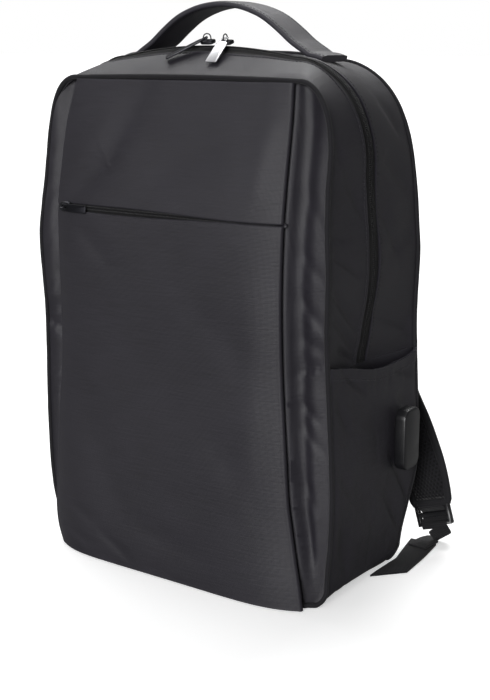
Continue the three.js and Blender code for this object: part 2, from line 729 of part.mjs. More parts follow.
// One row of the overlay from the end of its left lip, round the folds, to the end of its right lip. heightOf
// gives the row's height for a share of the way across.
function overlayLine(heightOf, columns) {
  const across = evenly(0, 1, columns);
  const lip = (side, step) => {
    const z = heightOf(side < 0 ? 0 : 1);
    const row = overlayRow(z);
    const fold = side < 0 ? row.left : row.right;
    const lipX = (fold - side * FOLD_RADIUS) / (settled(side * HALF, z) / (side * HALF));
    const deep = Math.min(row.fold + LIP_DEPTH, frontWallDepth(lipX, z) - GAP * 2);
    const turns = [
      { x: fold - side * FOLD_RADIUS * 0.5, y: Math.max(deep, row.fold + FOLD_RADIUS) },
      { x: fold, y: row.fold + FOLD_RADIUS * 0.9 },
      { x: fold - side * FOLD_RADIUS * 0.3, y: row.fold + FOLD_RADIUS * 0.28 },
    ];
    return new THREE.Vector3(turns[step].x, turns[step].y, z);
  };
  const face = across.map((s) => {
    const z = heightOf(s);
    const row = overlayRow(z);
    const x = THREE.MathUtils.lerp(row.left + FOLD_RADIUS, row.right - FOLD_RADIUS, s);
    return new THREE.Vector3(x, overlayDepth(x, z), z);
  });
  return [lip(-1, 0), lip(-1, 1), lip(-1, 2), ...face, lip(1, 2), lip(1, 1), lip(1, 0)];
}

function buildOverlay() {
  const columns = 14;
  const foot = GAP * 3;
  const top = (SEAMS.front.top - SEAMS.front.crown) * BODY_HEIGHT - SEAM_ROOM - GAP;
  const lower = evenly(0, 1, 12).map((v) => overlayLine(
    (s) => THREE.MathUtils.lerp(foot, FRONT_ZIP_HEIGHT - slitHalf(s), v),
    columns,
  ));
  const upper = evenly(0, 1, 7).map((v) => overlayLine(
    (s) => THREE.MathUtils.lerp(FRONT_ZIP_HEIGHT + slitHalf(s), top, v),
    columns,
  ));
  add('front_panel_lower', wall(lower, OVERLAY_CLOTH), cloth());
  add('front_panel_upper', wall(upper, OVERLAY_CLOTH), cloth());
}

// The front zip's tape fills the slit, a little behind the panels' faces.
function buildFrontZip() {
  const grid = [-1, 1].map((edge) => evenly(0.01, 0.99, 14).map((s) => {
    const row = overlayRow(FRONT_ZIP_HEIGHT);
    const x = THREE.MathUtils.lerp(row.left + FOLD_RADIUS, row.right - FOLD_RADIUS, s);
    const z = FRONT_ZIP_HEIGHT + edge * Math.max(slitHalf(s) - GAP, GAP / 3);
    return new THREE.Vector3(x, overlayDepth(x, z) + 2 * GAP, z);
  }));
  add('front_zip_tape', wall(grid, TAPE_CLOTH), cloth(0x232226));
}

// A slider with a bridge of bent wire, and its pull, whose bar turns under the bridge.
function buildSlider(name, seat, out, runs, tip, pull, colour) {
  const hinge = seat.clone().addScaledVector(out, SLIDER_HEIGHT + HINGE_RISE);
  const along = tip.clone().sub(hinge).normalize();
  const across = new THREE.Vector3().crossVectors(out, along).normalize();
  const flat = new THREE.Vector3().crossVectors(across, out).normalize();
  const runAcross = new THREE.Vector3().crossVectors(out, runs).normalize();
  const body = sweep(
    [
      { at: -0.5, wide: 0.62 },
      { at: -0.3, wide: 1 },
      { at: 0.3, wide: 1 },
      { at: 0.5, wide: 0.78 },
    ].map(({ at, wide }) => ({
      point: seat.clone().addScaledVector(runs, at * SLIDER_LENGTH).addScaledVector(out, SLIDER_HEIGHT / 2),
      across: runAcross,
      out,
      wide,
    })),
    roundedSection(SLIDER_WIDTH, SLIDER_HEIGHT, 0.8, 1),
  );
  const legDrop = HINGE_RISE + BRIDGE_WIRE;
  const arch = evenly(0, Math.PI, 8).map((a) => hinge.clone()
    .addScaledVector(flat, -BRIDGE_RADIUS * Math.cos(a))
    .addScaledVector(out, BRIDGE_RADIUS * Math.sin(a)));
  const firstLeg = arch[0].clone().addScaledVector(out, -legDrop);
  const lastLeg = arch[arch.length - 1].clone().addScaledVector(out, -legDrop);
  const wire = new THREE.CatmullRomCurve3([firstLeg, ...arch, lastLeg], false, 'centripetal');
  const bridge = sweep(stationsAlong(wire, 10, () => across), roundSection(BRIDGE_WIRE / 2, 5));
  const slider = toManifold(body).add(toManifold(bridge));
  add(`zip_slider_${name}`, fromManifold(slider), hard(0x55555a, 0.9, 0.35));

  // The pull lies in the plane of along and across: a plate, a window for the bridge, and the bar.
  const upright = new THREE.Vector3().crossVectors(along, across).normalize();
  const shape = new THREE.Shape();
  const half = pull.width / 2;
  const bar = BRIDGE_WIRE / 2;
  const neck = BRIDGE_RADIUS + BRIDGE_WIRE + bar;
  const neckHalf = Math.min(half, PULL_NECK / 2);
  shape.moveTo(-bar, -neckHalf);
  shape.lineTo(neck, -neckHalf);
  shape.lineTo(neck + PULL_SHOULDER, -half);
  shape.lineTo(pull.length - PULL_CORNER, -half);
  shape.quadraticCurveTo(pull.length, -half, pull.length, -half + PULL_CORNER);
  shape.lineTo(pull.length, half - PULL_CORNER);
  shape.quadraticCurveTo(pull.length, half, pull.length - PULL_CORNER, half);
  shape.lineTo(neck + PULL_SHOULDER, half);
  shape.lineTo(neck, neckHalf);
  shape.lineTo(-bar, neckHalf);
  shape.closePath();
  const window = new THREE.Path();
  window.moveTo(bar, -neckHalf + PULL_RIM);
  window.lineTo(bar, neckHalf - PULL_RIM);
  window.lineTo(neck, neckHalf - PULL_RIM);
  window.lineTo(neck, -neckHalf + PULL_RIM);
  window.closePath();
  shape.holes.push(window);
  const plate = new THREE.ExtrudeGeometry(shape, {
    depth: BRIDGE_WIRE, bevelEnabled: false, curveSegments: 2,
  });
  plate.translate(0, 0, -BRIDGE_WIRE / 2);
  const mesh = add(`zip_pull_${name}`, plate, hard(colour.hex, colour.metalness, colour.roughness));
  const basis = new THREE.Matrix4().makeBasis(along, across.clone().negate(), upright.clone().negate());
  mesh.quaternion.setFromRotationMatrix(basis);
  mesh.position.copy(hinge);
}

const STEEL = { hex: 0xd8d8da, metalness: 1, roughness: 0.25 };
const GUNMETAL = { hex: 0x3a3a3e, metalness: 0.8, roughness: 0.4 };

// The point of the top cloth at (x, y), moved out by lift. The place is found by halving.
function onTop(x, y, lift) {
  let [low, high] = [4, 6];
  for (let i = 0; i < 24; i += 1) {
    const place = (low + high) / 2;
    if (skin(1, place, y, { lift }).x > Math.abs(x)) low = place;
    else high = place;
  }
  return skin(x < 0 ? -1 : 1, high, y, { lift });
}

function buildMainSlider(number, { x, tipX, tipY, lift }, pull, colour) {
  const y = seamDepth(ZIP_COURSE, 6);
  const ride = COIL_HEIGHT + 3 * GAP;
  const point = onTop(x, y, 0);
  const behind = onTop(x, y + TAPE_WIDTH, 0);
  const ahead = onTop(x, y - TAPE_WIDTH, 0);
  const slope = behind.sub(ahead).normalize();
  const out = new THREE.Vector3().crossVectors(new THREE.Vector3(1, 0, 0), slope).normalize();
  const seat = point.addScaledVector(out, ride);
  const tip = onTop(tipX, tipY, BRIDGE_WIRE / 2 + lift);
  buildSlider(`main_${number}`, seat, out, new THREE.Vector3(1, 0, 0), tip, pull, colour);
}

function buildFrontSlider() {
  const row = overlayRow(FRONT_ZIP_HEIGHT);
  const x = row.left * 0.87;
  const out = new THREE.Vector3(0, -1, 0);
  const clearOf = (from, to, reach) => Math.min(...[from, to].flatMap((px) => [-1, 1].map(
    (s) => overlayDepth(px, FRONT_ZIP_HEIGHT + s * reach),
  )));
  const seatDepth = clearOf(x - SLIDER_LENGTH / 2, x + SLIDER_LENGTH / 2, SLIDER_WIDTH / 2) - GAP;
  const seat = new THREE.Vector3(x, seatDepth, FRONT_ZIP_HEIGHT);
  const tipX = x + FRONT_PULL.length;
  const tipDepth = clearOf(tipX, tipX, FRONT_PULL.width / 2) - BRIDGE_WIRE / 2 - 2 * GAP;
  const tip = new THREE.Vector3(tipX, tipDepth, FRONT_ZIP_HEIGHT - 1);
  buildSlider('front', seat, out, new THREE.Vector3(1, 0, 0), tip, FRONT_PULL, GUNMETAL);
}

// The carry handle: a flat band arching over the top, its ends lying on the rear gusset.
function buildHandle() {
  const half = HANDLE_SPAN / 2;
  const seatHeight = (x) => Math.max(...evenly(-0.5, 0.5, 4).map(
    (s) => onTop(x, HANDLE_DEPTH + s * HANDLE_WIDTH, HANDLE_THICKNESS / 2 + 2 * GAP).z,
  ));
  const foot = [1, 0.6, 0.2].map((s) => {
    const x = half + HANDLE_SEAT * s;
    return new THREE.Vector3(x, HANDLE_DEPTH, seatHeight(x));
  });
  const arch = HANDLE_LINE.map(({ along, rise }) => new THREE.Vector3(
    along * half,
    HANDLE_DEPTH,
    BODY_HEIGHT + rise * HANDLE_RISE,
  ));
  const right = [...foot, ...arch];
  const left = right.slice(0, -1).reverse().map((p) => new THREE.Vector3(-p.x, p.y, p.z));
  const curve = new THREE.CatmullRomCurve3([...right, ...left], false, 'centripetal');
  const stations = stationsAlong(curve, 26, () => new THREE.Vector3(0, 0, 1));
  const section = roundedSection(HANDLE_WIDTH, HANDLE_THICKNESS, HANDLE_CORNER, 1);
  add('handle', sweep(stations, section), cloth(0x37363b));
}

function hemPlace(along) {
  return placeAt(SEAMS.zip, follow(HEM, 'height', along, 'along') * HEM_HEIGHT);
}

// A point of a side pocket's outer face. along: share from the front piping to the rear. up: share from the
// pocket's foot to its hem.
function pocketPoint(side, along, up, extra = 0) {
  const place = THREE.MathUtils.lerp(POCKET_FOOT, hemPlace(along), up);
  const y = THREE.MathUtils.lerp(frontEdge(place) + GAP, rearEdge(place) - GAP, along);
  const bulge = POCKET_BULGE * Math.sin(Math.PI * along) * up;
  return skin(side, place, y, { lift: GAP + POCKET_CLOTH + bulge + extra, swell: 0 });
}

// The point of the right pocket's outer face at a depth and a height.
function pocketAt(y, z) {
  const place = placeAt(SEAMS.zip, z);
  const along = (y - frontEdge(place)) / (rearEdge(place) - frontEdge(place));
  return pocketPoint(1, along, (place - POCKET_FOOT) / (hemPlace(along) - POCKET_FOOT));
}

function buildSidePockets() {
  SIDES.forEach(({ side, name }) => {
    const grid = evenly(0, 1, 9).map((up) => evenly(0, 1, 8).map((along) => pocketPoint(side, along, up)));
    add(`side_pocket_${name}`, wall(grid, POCKET_CLOTH), cloth());
    const bindingFrom = 1 - BINDING_HEIGHT / HEM_HEIGHT;
    const extra = GAP + BINDING_CLOTH;
    const band = [bindingFrom, 1].map((up) => evenly(0, 1, 8)
      .map((along) => pocketPoint(side, along, up, extra)));
    add(`pocket_hem_${name}`, wall(band, BINDING_CLOTH), cloth(0x2c2b2f));
  });
}

// The charging port on the right pocket: a rounded upright housing whose socket opens downwards.
function buildPort() {
  const middleZ = PORT_FOOT + PORT_HEIGHT / 2;
  const portY = rearEdge(placeAt(SEAMS.zip, middleZ)) - PORT_FROM_REAR;
  const seatX = 2 * GAP + Math.max(...[-0.5, 0, 0.5].flatMap((across) => evenly(-0.5, 0.5, 6).map(
    (rise) => pocketAt(portY + across * PORT_WIDTH, middleZ + rise * PORT_HEIGHT).x,
  )));
  const outline = new THREE.Shape(roundedSection(PORT_WIDTH, PORT_HEIGHT, PORT_CORNER, 4));
  const block = new THREE.ExtrudeGeometry(outline, {
    depth: PORT_DEPTH - PORT_BEVEL,
    bevelSize: PORT_BEVEL,
    bevelThickness: PORT_BEVEL,
    bevelOffset: -PORT_BEVEL,
    bevelSegments: 2,
    curveSegments: 4,
  });
  const turn = new THREE.Matrix4().makeBasis(
    new THREE.Vector3(0, 1, 0),
    new THREE.Vector3(0, 0, 1),
    new THREE.Vector3(1, 0, 0),
  );
  block.applyMatrix4(turn);
  block.translate(seatX + PORT_BEVEL, portY, middleZ);
  const socketX = seatX + (PORT_DEPTH + PORT_BEVEL) / 2;
  const room = 2 * (SOCKET_SHEET + GAP);
  const bore = new THREE.BoxGeometry(
    SOCKET_GAP + room,
    SOCKET_WIDTH + room,
    SOCKET_DEPTH + SOCKET_SHEET + 2 * GAP,
  );
  bore.translate(socketX, portY, PORT_FOOT + (SOCKET_DEPTH + SOCKET_SHEET) / 2 - GAP);
  const housing = toManifold(block).subtract(toManifold(bore));
  add('usb_housing', fromManifold(housing), hard(0x1d1d20, 0, 0.45));

  const can = new THREE.BoxGeometry(
    SOCKET_GAP + 2 * SOCKET_SHEET,
    SOCKET_WIDTH + 2 * SOCKET_SHEET,
    SOCKET_DEPTH + SOCKET_SHEET - 2 * GAP,
  );
  const canMiddle = PORT_FOOT + GAP + (SOCKET_DEPTH + SOCKET_SHEET - 2 * GAP) / 2;
  can.translate(socketX, portY, canMiddle);
  const hollow = new THREE.BoxGeometry(SOCKET_GAP, SOCKET_WIDTH, SOCKET_DEPTH);
  hollow.translate(socketX, portY, canMiddle - SOCKET_SHEET - GAP);
  const tongue = new THREE.BoxGeometry(TONGUE_THICKNESS, SOCKET_WIDTH - 1.2, TONGUE_DEPTH);
  tongue.translate(socketX + 0.5, portY, PORT_FOOT + SOCKET_DEPTH - TONGUE_DEPTH / 2);
  const socket = toManifold(can).subtract(toManifold(hollow)).add(toManifold(tongue));
  add('usb_socket', fromManifold(socket), hard(0xb8b8ba, 1, 0.3));
}

function strapPoint(side, row) {
  return new THREE.Vector3(
    side * row.across * HALF,
    BODY_DEPTH / 2 + row.back * BODY_DEPTH,
    row.height * BODY_HEIGHT,
  );
}

function buildStrap({ side, name }) {
  const padRows = PAD_LINE.map((row) => strapPoint(side, row));
  const padLine = new THREE.CatmullRomCurve3(padRows, false, 'centripetal');
  const backward = new THREE.Vector3(0, 1, 0);
  const rows = PAD_LINE.length - 1;
  const wideAt = (t) => {
    const i = Math.min(Math.floor(t * rows), rows - 1);
    return THREE.MathUtils.lerp(PAD_LINE[i].wide, PAD_LINE[i + 1].wide, t * rows - i);
  };
  const pad = stationsAlong(padLine, 18, () => backward, (t) => ({ wide: wideAt(t) }));
  add(`strap_pad_${name}`, sweep(pad, roundedSection(PAD_WIDTH, PAD_THICKNESS, PAD_CORNER)), cloth(0x2e2d31));

  const end = pad[pad.length - 1];
  const tangent = padLine.getTangent(1);
  const buckleMiddle = end.point.clone().addScaledVector(tangent, BUCKLE_LENGTH / 2 + GAP);
  const frame = new THREE.BoxGeometry(BUCKLE_WIDTH, BUCKLE_LENGTH, BUCKLE_THICKNESS);
  const slotLength = (BUCKLE_LENGTH - 3 * BUCKLE_BAR) / 2;
  let buckle = toManifold(frame);
  [-1, 1].forEach((row) => {
    const slot = new THREE.BoxGeometry(WEBBING_WIDTH + 2, slotLength, BUCKLE_THICKNESS + 2);
    slot.translate(0, (row * (slotLength + BUCKLE_BAR)) / 2, 0);
    buckle = buckle.subtract(toManifold(slot));
  });
  const buckleGeometry = fromManifold(buckle);
  buckleGeometry.applyMatrix4(new THREE.Matrix4().makeBasis(
    new THREE.Vector3().crossVectors(tangent, end.out),
    tangent,
    end.out,
  ));
  buckleGeometry.translate(...buckleMiddle.toArray());
  add(`strap_buckle_${name}`, buckleGeometry, hard(0x1f1f22, 0, 0.5));

  const start = buckleMiddle.clone().addScaledVector(tangent, BUCKLE_LENGTH / 2 + 5 * GAP);
  const lane = [start, ...WEBBING_LINE.map((row) => strapPoint(side, row))];
  const webLine = new THREE.CatmullRomCurve3(lane, false, 'centripetal');
  const facing = (t) => new THREE.Vector3(-side * Math.max(1 - 2 * t, 0), 0, 1).normalize();
  const webSection = roundedSection(WEBBING_WIDTH * WEBBING_GATHER, WEBBING_THICKNESS, WEBBING_CORNER, 1);
  add(`strap_webbing_${name}`, sweep(stationsAlong(webLine, 12, facing), webSection), cloth(0x29282c));

  const tab = new THREE.Shape(TAB_OUTLINE.map(({ across, depth }) => new THREE.Vector2(
    side * across * HALF,
    FRONT_Y + depth * BODY_DEPTH,
  )));
  const tabGeometry = new THREE.ExtrudeGeometry(tab, { depth: TAB_THICKNESS, bevelEnabled: false });
  tabGeometry.translate(0, 0, GAP);
  add(`anchor_tab_${name}`, tabGeometry, cloth(0x2e2d31));
}

buildFrontWall();
buildOverlay();
buildFrontZip();
buildPiping('piping_front', SEAMS.front, FRONT_COURSE);
buildGussets();
buildMainZip();
buildPiping('piping_rear', SEAMS.rear, REAR_COURSE);
buildBackPanel();
buildMainSlider(1, DARK_LIE, DARK_PULL, GUNMETAL);
buildMainSlider(2, METAL_LIE, METAL_PULL, STEEL);
buildFrontSlider();
buildHandle();
buildSidePockets();
buildPort();
SIDES.forEach(buildStrap);

export default backpack;
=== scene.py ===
"""A laptop backpack of charcoal woven polyester that stands on its base.

Shapes are worked out in millimetres and become metres where a mesh is made. +Z is up, the front faces -Y, and
+X is the right side seen from the front. The origin is at the middle of the base.
"""
import logging
import math
from dataclasses import dataclass
from enum import Enum
from typing import Iterable, Sequence

import bmesh
import bpy
import numpy as np
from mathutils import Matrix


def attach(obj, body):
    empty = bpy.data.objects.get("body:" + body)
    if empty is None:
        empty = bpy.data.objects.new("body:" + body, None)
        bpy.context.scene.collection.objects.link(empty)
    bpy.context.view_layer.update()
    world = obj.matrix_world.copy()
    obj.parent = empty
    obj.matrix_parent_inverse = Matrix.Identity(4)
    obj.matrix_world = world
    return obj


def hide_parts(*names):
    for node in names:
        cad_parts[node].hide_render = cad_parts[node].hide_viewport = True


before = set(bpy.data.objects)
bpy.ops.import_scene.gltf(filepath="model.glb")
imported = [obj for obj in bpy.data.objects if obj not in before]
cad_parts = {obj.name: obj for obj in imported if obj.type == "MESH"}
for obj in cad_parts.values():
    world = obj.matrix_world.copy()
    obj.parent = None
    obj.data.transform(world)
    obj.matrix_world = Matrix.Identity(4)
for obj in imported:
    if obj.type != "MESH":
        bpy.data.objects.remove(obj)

MM = 0.001
HEART = (0.0, 0.0, 217.0)
log = logging.getLogger("backpack")


class Slot(Enum):
    """The finishes that the part's record names."""

    CLOTH = "woven_polyester"
    PADDING = "padded_mesh"
    BINDING = "binding"
    ZIP = "zip_tape"
    STEEL = "steel"
    GUNMETAL = "gunmetal"
    PLASTIC = "port_plastic"
    SOCKET = "socket_steel"
    WEBBING = "webbing"


class Body(Enum):
    """The bodies that pieces ride on."""

    BAG = "bag"
    PULL_MAIN_1 = "pull_main_1"
    PULL_MAIN_2 = "pull_main_2"
    PULL_FRONT = "pull_front"


class Table:
    """Rows of named columns, read as a smooth line through the rows."""

    def __init__(self, names: str, *rows: tuple[float, ...]) -> None:
        """Keeps the rows as one array for each column.

        Args:
            names: the columns' names, the first of which is the key.
            rows: one row of numbers for each station.
        """
        self.columns = dict(zip(names.split(), np.array(rows, float).T))
        self.key = self.columns[names.split()[0]]

    def read(self, column: str, at: np.ndarray | float) -> np.ndarray:
        """Reads a column by cubics whose end slopes are those of the lines through the neighbouring rows.

        Args:
            column: the column's name.
            at: the keys to read it at.

        Returns:
            One value for each key.
        """
        x, y = self.key, self.columns[column]
        last = len(x) - 1
        before = np.maximum(np.arange(last + 1) - 1, 0)
        after = np.minimum(np.arange(last + 1) + 1, last)
        slope = (y[after] - y[before]) / (x[after] - x[before])
        at = np.asarray(at, float)
        i = np.clip(np.searchsorted(x, at, side="left") - 1, 0, last - 1)
        span = x[i + 1] - x[i]
        s = np.clip((at - x[i]) / span, 0, 1)
        rise = y[i] * (2 * s**3 - 3 * s**2 + 1) + y[i + 1] * (3 * s**2 - 2 * s**3)
        return rise + span * (slope[i] * (s**3 - 2 * s**2 + s) + slope[i + 1] * (s**3 - s**2))


@dataclass(frozen=True)
class Seam:
    """A seam line round the body. half, corner_x: shares of half the width. The rest: shares of the height."""

    half: float
    top: float
    crown: float
    corner_x: float
    corner_z: float


FRONT_SEAM = Seam(1.0, 0.942, 0.004, 0.235, 0.165)
ZIP_SEAM = Seam(1.0, 0.991, 0.018, 0.42, 0.185)
REAR_SEAM = Seam(1.0, 0.982, 0.014, 0.55, 0.25)

# Depth of each seam as a share of the body's depth behind the plane of the front piping. place runs up one side:
# 0 middle of the base, 1 and 2 the ends of the bottom corner, 3 the pocket hem, 4 and 5 the ends of the top
# corner, 6 the middle of the top.
FRONT_COURSE = Table(
    "place depth",
    (0.0, -0.144), (0.6, -0.141), (0.85, -0.113), (1.0, -0.04), (1.25, -0.008), (1.5, 0.018), (2.0, 0.037),
    (2.35, 0.03), (2.65, 0.028), (3.0, 0.019), (3.43, 0.0), (3.6, -0.004), (3.76, 0.008), (3.93, 0.032),
    (4.13, 0.058), (4.38, 0.074), (5.0, 0.078), (6.0, 0.078),
)
ZIP_COURSE = Table(
    "place depth",
    (0.0, 0.472), (3.0, 0.472), (4.0, 0.458), (4.35, 0.41), (4.7, 0.352), (5.0, 0.331), (6.0, 0.331),
)
REAR_COURSE = Table(
    "place depth",
    (0.0, 0.81), (1.5, 0.818), (2.0, 0.862), (2.18, 0.91), (2.38, 0.995), (2.65, 1.014), (3.0, 1.012),
    (4.0, 1.0), (6.0, 1.0),
)
# How the standing bag settles: scale of the width on each side by share of the height.
SETTLE = Table(
    "height right left",
    (0.0, 1.0, 0.925), (0.03, 0.995, 0.93), (0.07, 1.0, 0.975), (0.115, 1.014, 1.0), (0.2, 1.025, 1.012),
    (0.29, 1.015, 1.012), (0.4, 0.998, 0.998), (0.5, 0.988, 0.988), (0.62, 0.998, 0.998), (0.7, 0.98, 0.98),
    (0.77, 0.967, 0.967), (0.84, 0.978, 0.978), (0.92, 1.0, 1.0), (1.0, 1.0, 1.0),
)
# How far the side cloth swells past its seams, as a share of half the width.
SWELL = Table(
    "place out",
    (0.0, 0.0), (0.9, 0.0), (1.0, 0.0), (1.6, -0.004), (2.0, -0.02), (2.3, -0.05), (2.6, -0.062), (3.0, -0.06),
    (3.15, -0.03), (3.4, 0.004), (3.7, 0.01), (4.0, 0.01), (5.0, 0.01), (6.0, 0.012),
)
# The overlay by share of the body's height. middle, fold: shares of the depth. left, right: of half the width.
OVERLAY = Table(
    "height middle fold left right",
    (0.0, -0.188, -0.094, 0.82, 0.923), (0.04, -0.188, -0.096, 0.86, 0.907), (0.09, -0.184, -0.098, 0.868, 0.88),
    (0.157, -0.176, -0.102, 0.845, 0.848), (0.2, -0.172, -0.106, 0.83, 0.83), (0.3, -0.162, -0.106, 0.807, 0.807),
    (0.42, -0.156, -0.1, 0.78, 0.78), (0.565, -0.162, -0.106, 0.772, 0.772), (0.7, -0.146, -0.096, 0.776, 0.776),
    (0.79, -0.101, -0.053, 0.77, 0.77), (0.853, -0.052, -0.013, 0.764, 0.764),
    (0.887, -0.012, 0.015, 0.755, 0.755), (0.94, 0.05, 0.058, 0.735, 0.735),
)
# The front zip's slit: share of its full height along its length.
SLIT = Table(
    "along open",
    (0.0, 0.16), (0.06, 0.75), (0.3, 1.0), (0.5, 0.8), (0.68, 0.35), (0.8, 0.16), (1.0, 0.14),
)
# The pocket's hem from the front piping to the rear: share of the hem's height.
HEM = Table("along height", (0.0, 1.05), (0.2, 1.022), (0.5, 0.976), (0.85, 0.972), (1.0, 1.0))


def srgb(code: str) -> tuple[float, float, float, float]:
    """Turns an sRGB colour such as #3b3a3f to linear red, green, blue and full alpha."""
    parts = [int(code[i:i + 2], 16) / 255 for i in (1, 3, 5)]
    return (*[c / 12.92 if c <= 0.04045 else ((c + 0.055) / 1.055) ** 2.4 for c in parts], 1.0)


def smoothstep(value: np.ndarray | float, low: float, high: float) -> np.ndarray:
    """Rises smoothly from 0 at low to 1 at high."""
    s = np.clip((np.asarray(value, float) - low) / (high - low), 0, 1)
    return s * s * (3 - 2 * s)


def unit(vectors: np.ndarray) -> np.ndarray:
    """Scales each vector to a length of one."""
    return vectors / np.maximum(np.linalg.norm(vectors, axis=-1, keepdims=True), 1e-12)


def ripple(points: np.ndarray, size: float, seed: int) -> np.ndarray:
    """Smooth noise from -1 to 1: seeded numbers on a lattice, blended between its corners by smooth steps.

    Args:
        points: places in millimetres.
        size: spacing of the lattice in millimetres.
        seed: number that picks the lattice.

    Returns:
        One value for each point.
    """
    side = 32
    lattice = np.random.default_rng(seed).uniform(-1, 1, (side, side, side))
    cell = points / size
    base = np.floor(cell).astype(int)
    part = cell - base
    part = part * part * (3 - 2 * part)
    total = np.zeros(points.shape[:-1])
    for corner in np.ndindex(2, 2, 2):
        weight = np.prod(np.where(corner, part, 1 - part), axis=-1)
        index = (base + corner) % side
        total += weight * lattice[index[..., 0], index[..., 1], index[..., 2]]
    return total


class Creases:
    """Valleys pressed into cloth along straight lines, and ridges where the depth is negative."""

    def __init__(self, across: float, up: float, *rows: tuple[float, ...]) -> None:
        """Turns rows of shares to millimetres.

        Args:
            across: length that u0 and u1 are shares of.
            up: length that v0 and v1 are shares of.
            rows: u0, v0, u1, v1, depth and width in millimetres, and the steep side's share of the width.
        """
        table = np.array(rows, float)
        self.start = table[:, 0:2] * (across, up)
        self.end = table[:, 2:4] * (across, up)
        self.depth, self.width, self.steep = table[:, 4], table[:, 5], table[:, 6]

    def press(self, u: np.ndarray, v: np.ndarray) -> np.ndarray:
        """Depth of the cloth below its smooth form: a bell curve across each line, narrower on its steep side.

        Args:
            u: places across in millimetres.
            v: places up in millimetres.

        Returns:
            Depth in millimetres at each place.
        """
        line = self.end - self.start
        offset = np.stack([u, v], -1)[..., None, :] - self.start
        s = np.clip((offset * line).sum(-1) / (line**2).sum(-1), 0, 1)
        away = offset - s[..., None] * line
        turned = np.sign(line[:, 0] * away[..., 1] - line[:, 1] * away[..., 0])
        reach = self.width * np.where(turned < 0, self.steep, 1)
        fade = 0.35 + 0.65 * np.sin(np.pi * s) ** 0.5
        return (self.depth * fade * np.exp(-(away**2).sum(-1) / reach**2)).sum(-1)


@dataclass
class Shape:
    """A surface: points in millimetres, arrays of faces, and for each face's corners the place on the cloth."""

    points: np.ndarray
    faces: list[np.ndarray]
    uv: list[np.ndarray]

    @staticmethod
    def join(shapes: Iterable["Shape"]) -> "Shape":
        """Puts several surfaces into one.

        Args:
            shapes: the surfaces.

        Returns:
            The joined surface.
        """
        shapes = list(shapes)
        starts = np.cumsum([0] + [len(s.points) for s in shapes])
        faces = [f + start for s, start in zip(shapes, starts) for f in s.faces]
        return Shape(np.concatenate([s.points for s in shapes]), faces, [m for s in shapes for m in s.uv])

    def outward(self) -> "Shape":
        """Turns every face round where the closed surface's signed volume is negative.

        Returns:
            The surface with its faces pointing out.
        """
        p = self.points
        volume = sum(
            np.einsum("ij,ij->", p[f[:, 0]], np.cross(p[f[:, k]], p[f[:, k + 1]]))
            for f in self.faces for k in range(1, f.shape[1] - 1)
        )
        if volume >= 0:
            return self
        return Shape(p, [f[:, ::-1] for f in self.faces], [m[:, ::-1] for m in self.uv])

    def piece(self, name: str, sharp_deg: float = 50) -> bpy.types.Object:
        """Makes the mesh object, in metres at the origin, with its UV map in metres of cloth.

        Args:
            name: the piece's name.
            sharp_deg: edges that turn by more than this stay sharp.

        Returns:
            The new object, linked to the scene.
        """
        mesh = bpy.data.meshes.new(name)
        mesh.vertices.add(len(self.points))
        mesh.vertices.foreach_set("co", (self.points * MM).astype(np.float32).ravel())
        corners = np.concatenate([f.ravel() for f in self.faces])
        sizes = np.concatenate([np.full(len(f), f.shape[1]) for f in self.faces])
        mesh.loops.add(len(corners))
        mesh.loops.foreach_set("vertex_index", corners.astype(np.int32))
        mesh.polygons.add(len(sizes))
        mesh.polygons.foreach_set("loop_start", (np.cumsum(sizes) - sizes).astype(np.int32))
        mesh.update(calc_edges=True)
        flat = np.concatenate([m.reshape(-1, 2) for m in self.uv])
        mesh.uv_layers.new(name="cloth").data.foreach_set("uv", flat.astype(np.float32).ravel())
        mesh.shade_smooth()
        mesh.set_sharp_from_angle(angle=math.radians(sharp_deg))
        obj = bpy.data.objects.new(name, mesh)
        bpy.context.scene.collection.objects.link(obj)
        return obj


def quads_of(ids: np.ndarray) -> np.ndarray:
    """Four corners for each cell of a grid of vertex numbers."""
    return np.stack([ids[:-1, :-1], ids[1:, :-1], ids[1:, 1:], ids[:-1, 1:]], -1).reshape(-1, 4)


def grid_normals(grid: np.ndarray) -> np.ndarray:
    """Unit normals of a grid of points, from the differences along its rows and columns."""
    return unit(np.cross(np.gradient(grid, axis=0), np.gradient(grid, axis=1)))


def outward_normals(grid: np.ndarray) -> np.ndarray:
    """Unit normals of a grid of points, turned away from the body's heart."""
    normal = grid_normals(grid)
    return -np.sign((normal * (np.array(HEART) - grid)).sum(-1, keepdims=True)) * normal


def run_of(line: np.ndarray) -> np.ndarray:
    """Length along a line from its start to each of its points."""
    return np.concatenate([[0], np.cumsum(np.linalg.norm(np.diff(line, axis=0), axis=1))])


def read_along(line: np.ndarray, values: np.ndarray, at: np.ndarray) -> np.ndarray:
    """Vectors that belong to a line's points, read between them by length along the line.

    Args:
        line: points of the line.
        values: one vector for each point.
        at: lengths along the line.

    Returns:
        One vector for each length.
    """
    run = run_of(line)
    return np.stack([np.interp(at, run, values[:, k]) for k in range(3)], -1)


def cloth_uv(grid: np.ndarray) -> np.ndarray:
    """Lengths across and up the cloth, counted from the middle of the grid.

    Args:
        grid: points of the cloth in millimetres.

    Returns:
        Two lengths in metres for each point.
    """
    across = np.linalg.norm(np.diff(grid, axis=1), axis=-1)
    up = np.linalg.norm(np.diff(grid, axis=0), axis=-1)
    u = np.pad(np.cumsum(across, 1), ((0, 0), (1, 0)))
    v = np.pad(np.cumsum(up, 0), ((1, 0), (0, 0)))
    u = u - u[:, [grid.shape[1] // 2]]
    v = v - v[[grid.shape[0] // 2], :]
    return np.stack([u, v], -1) * MM


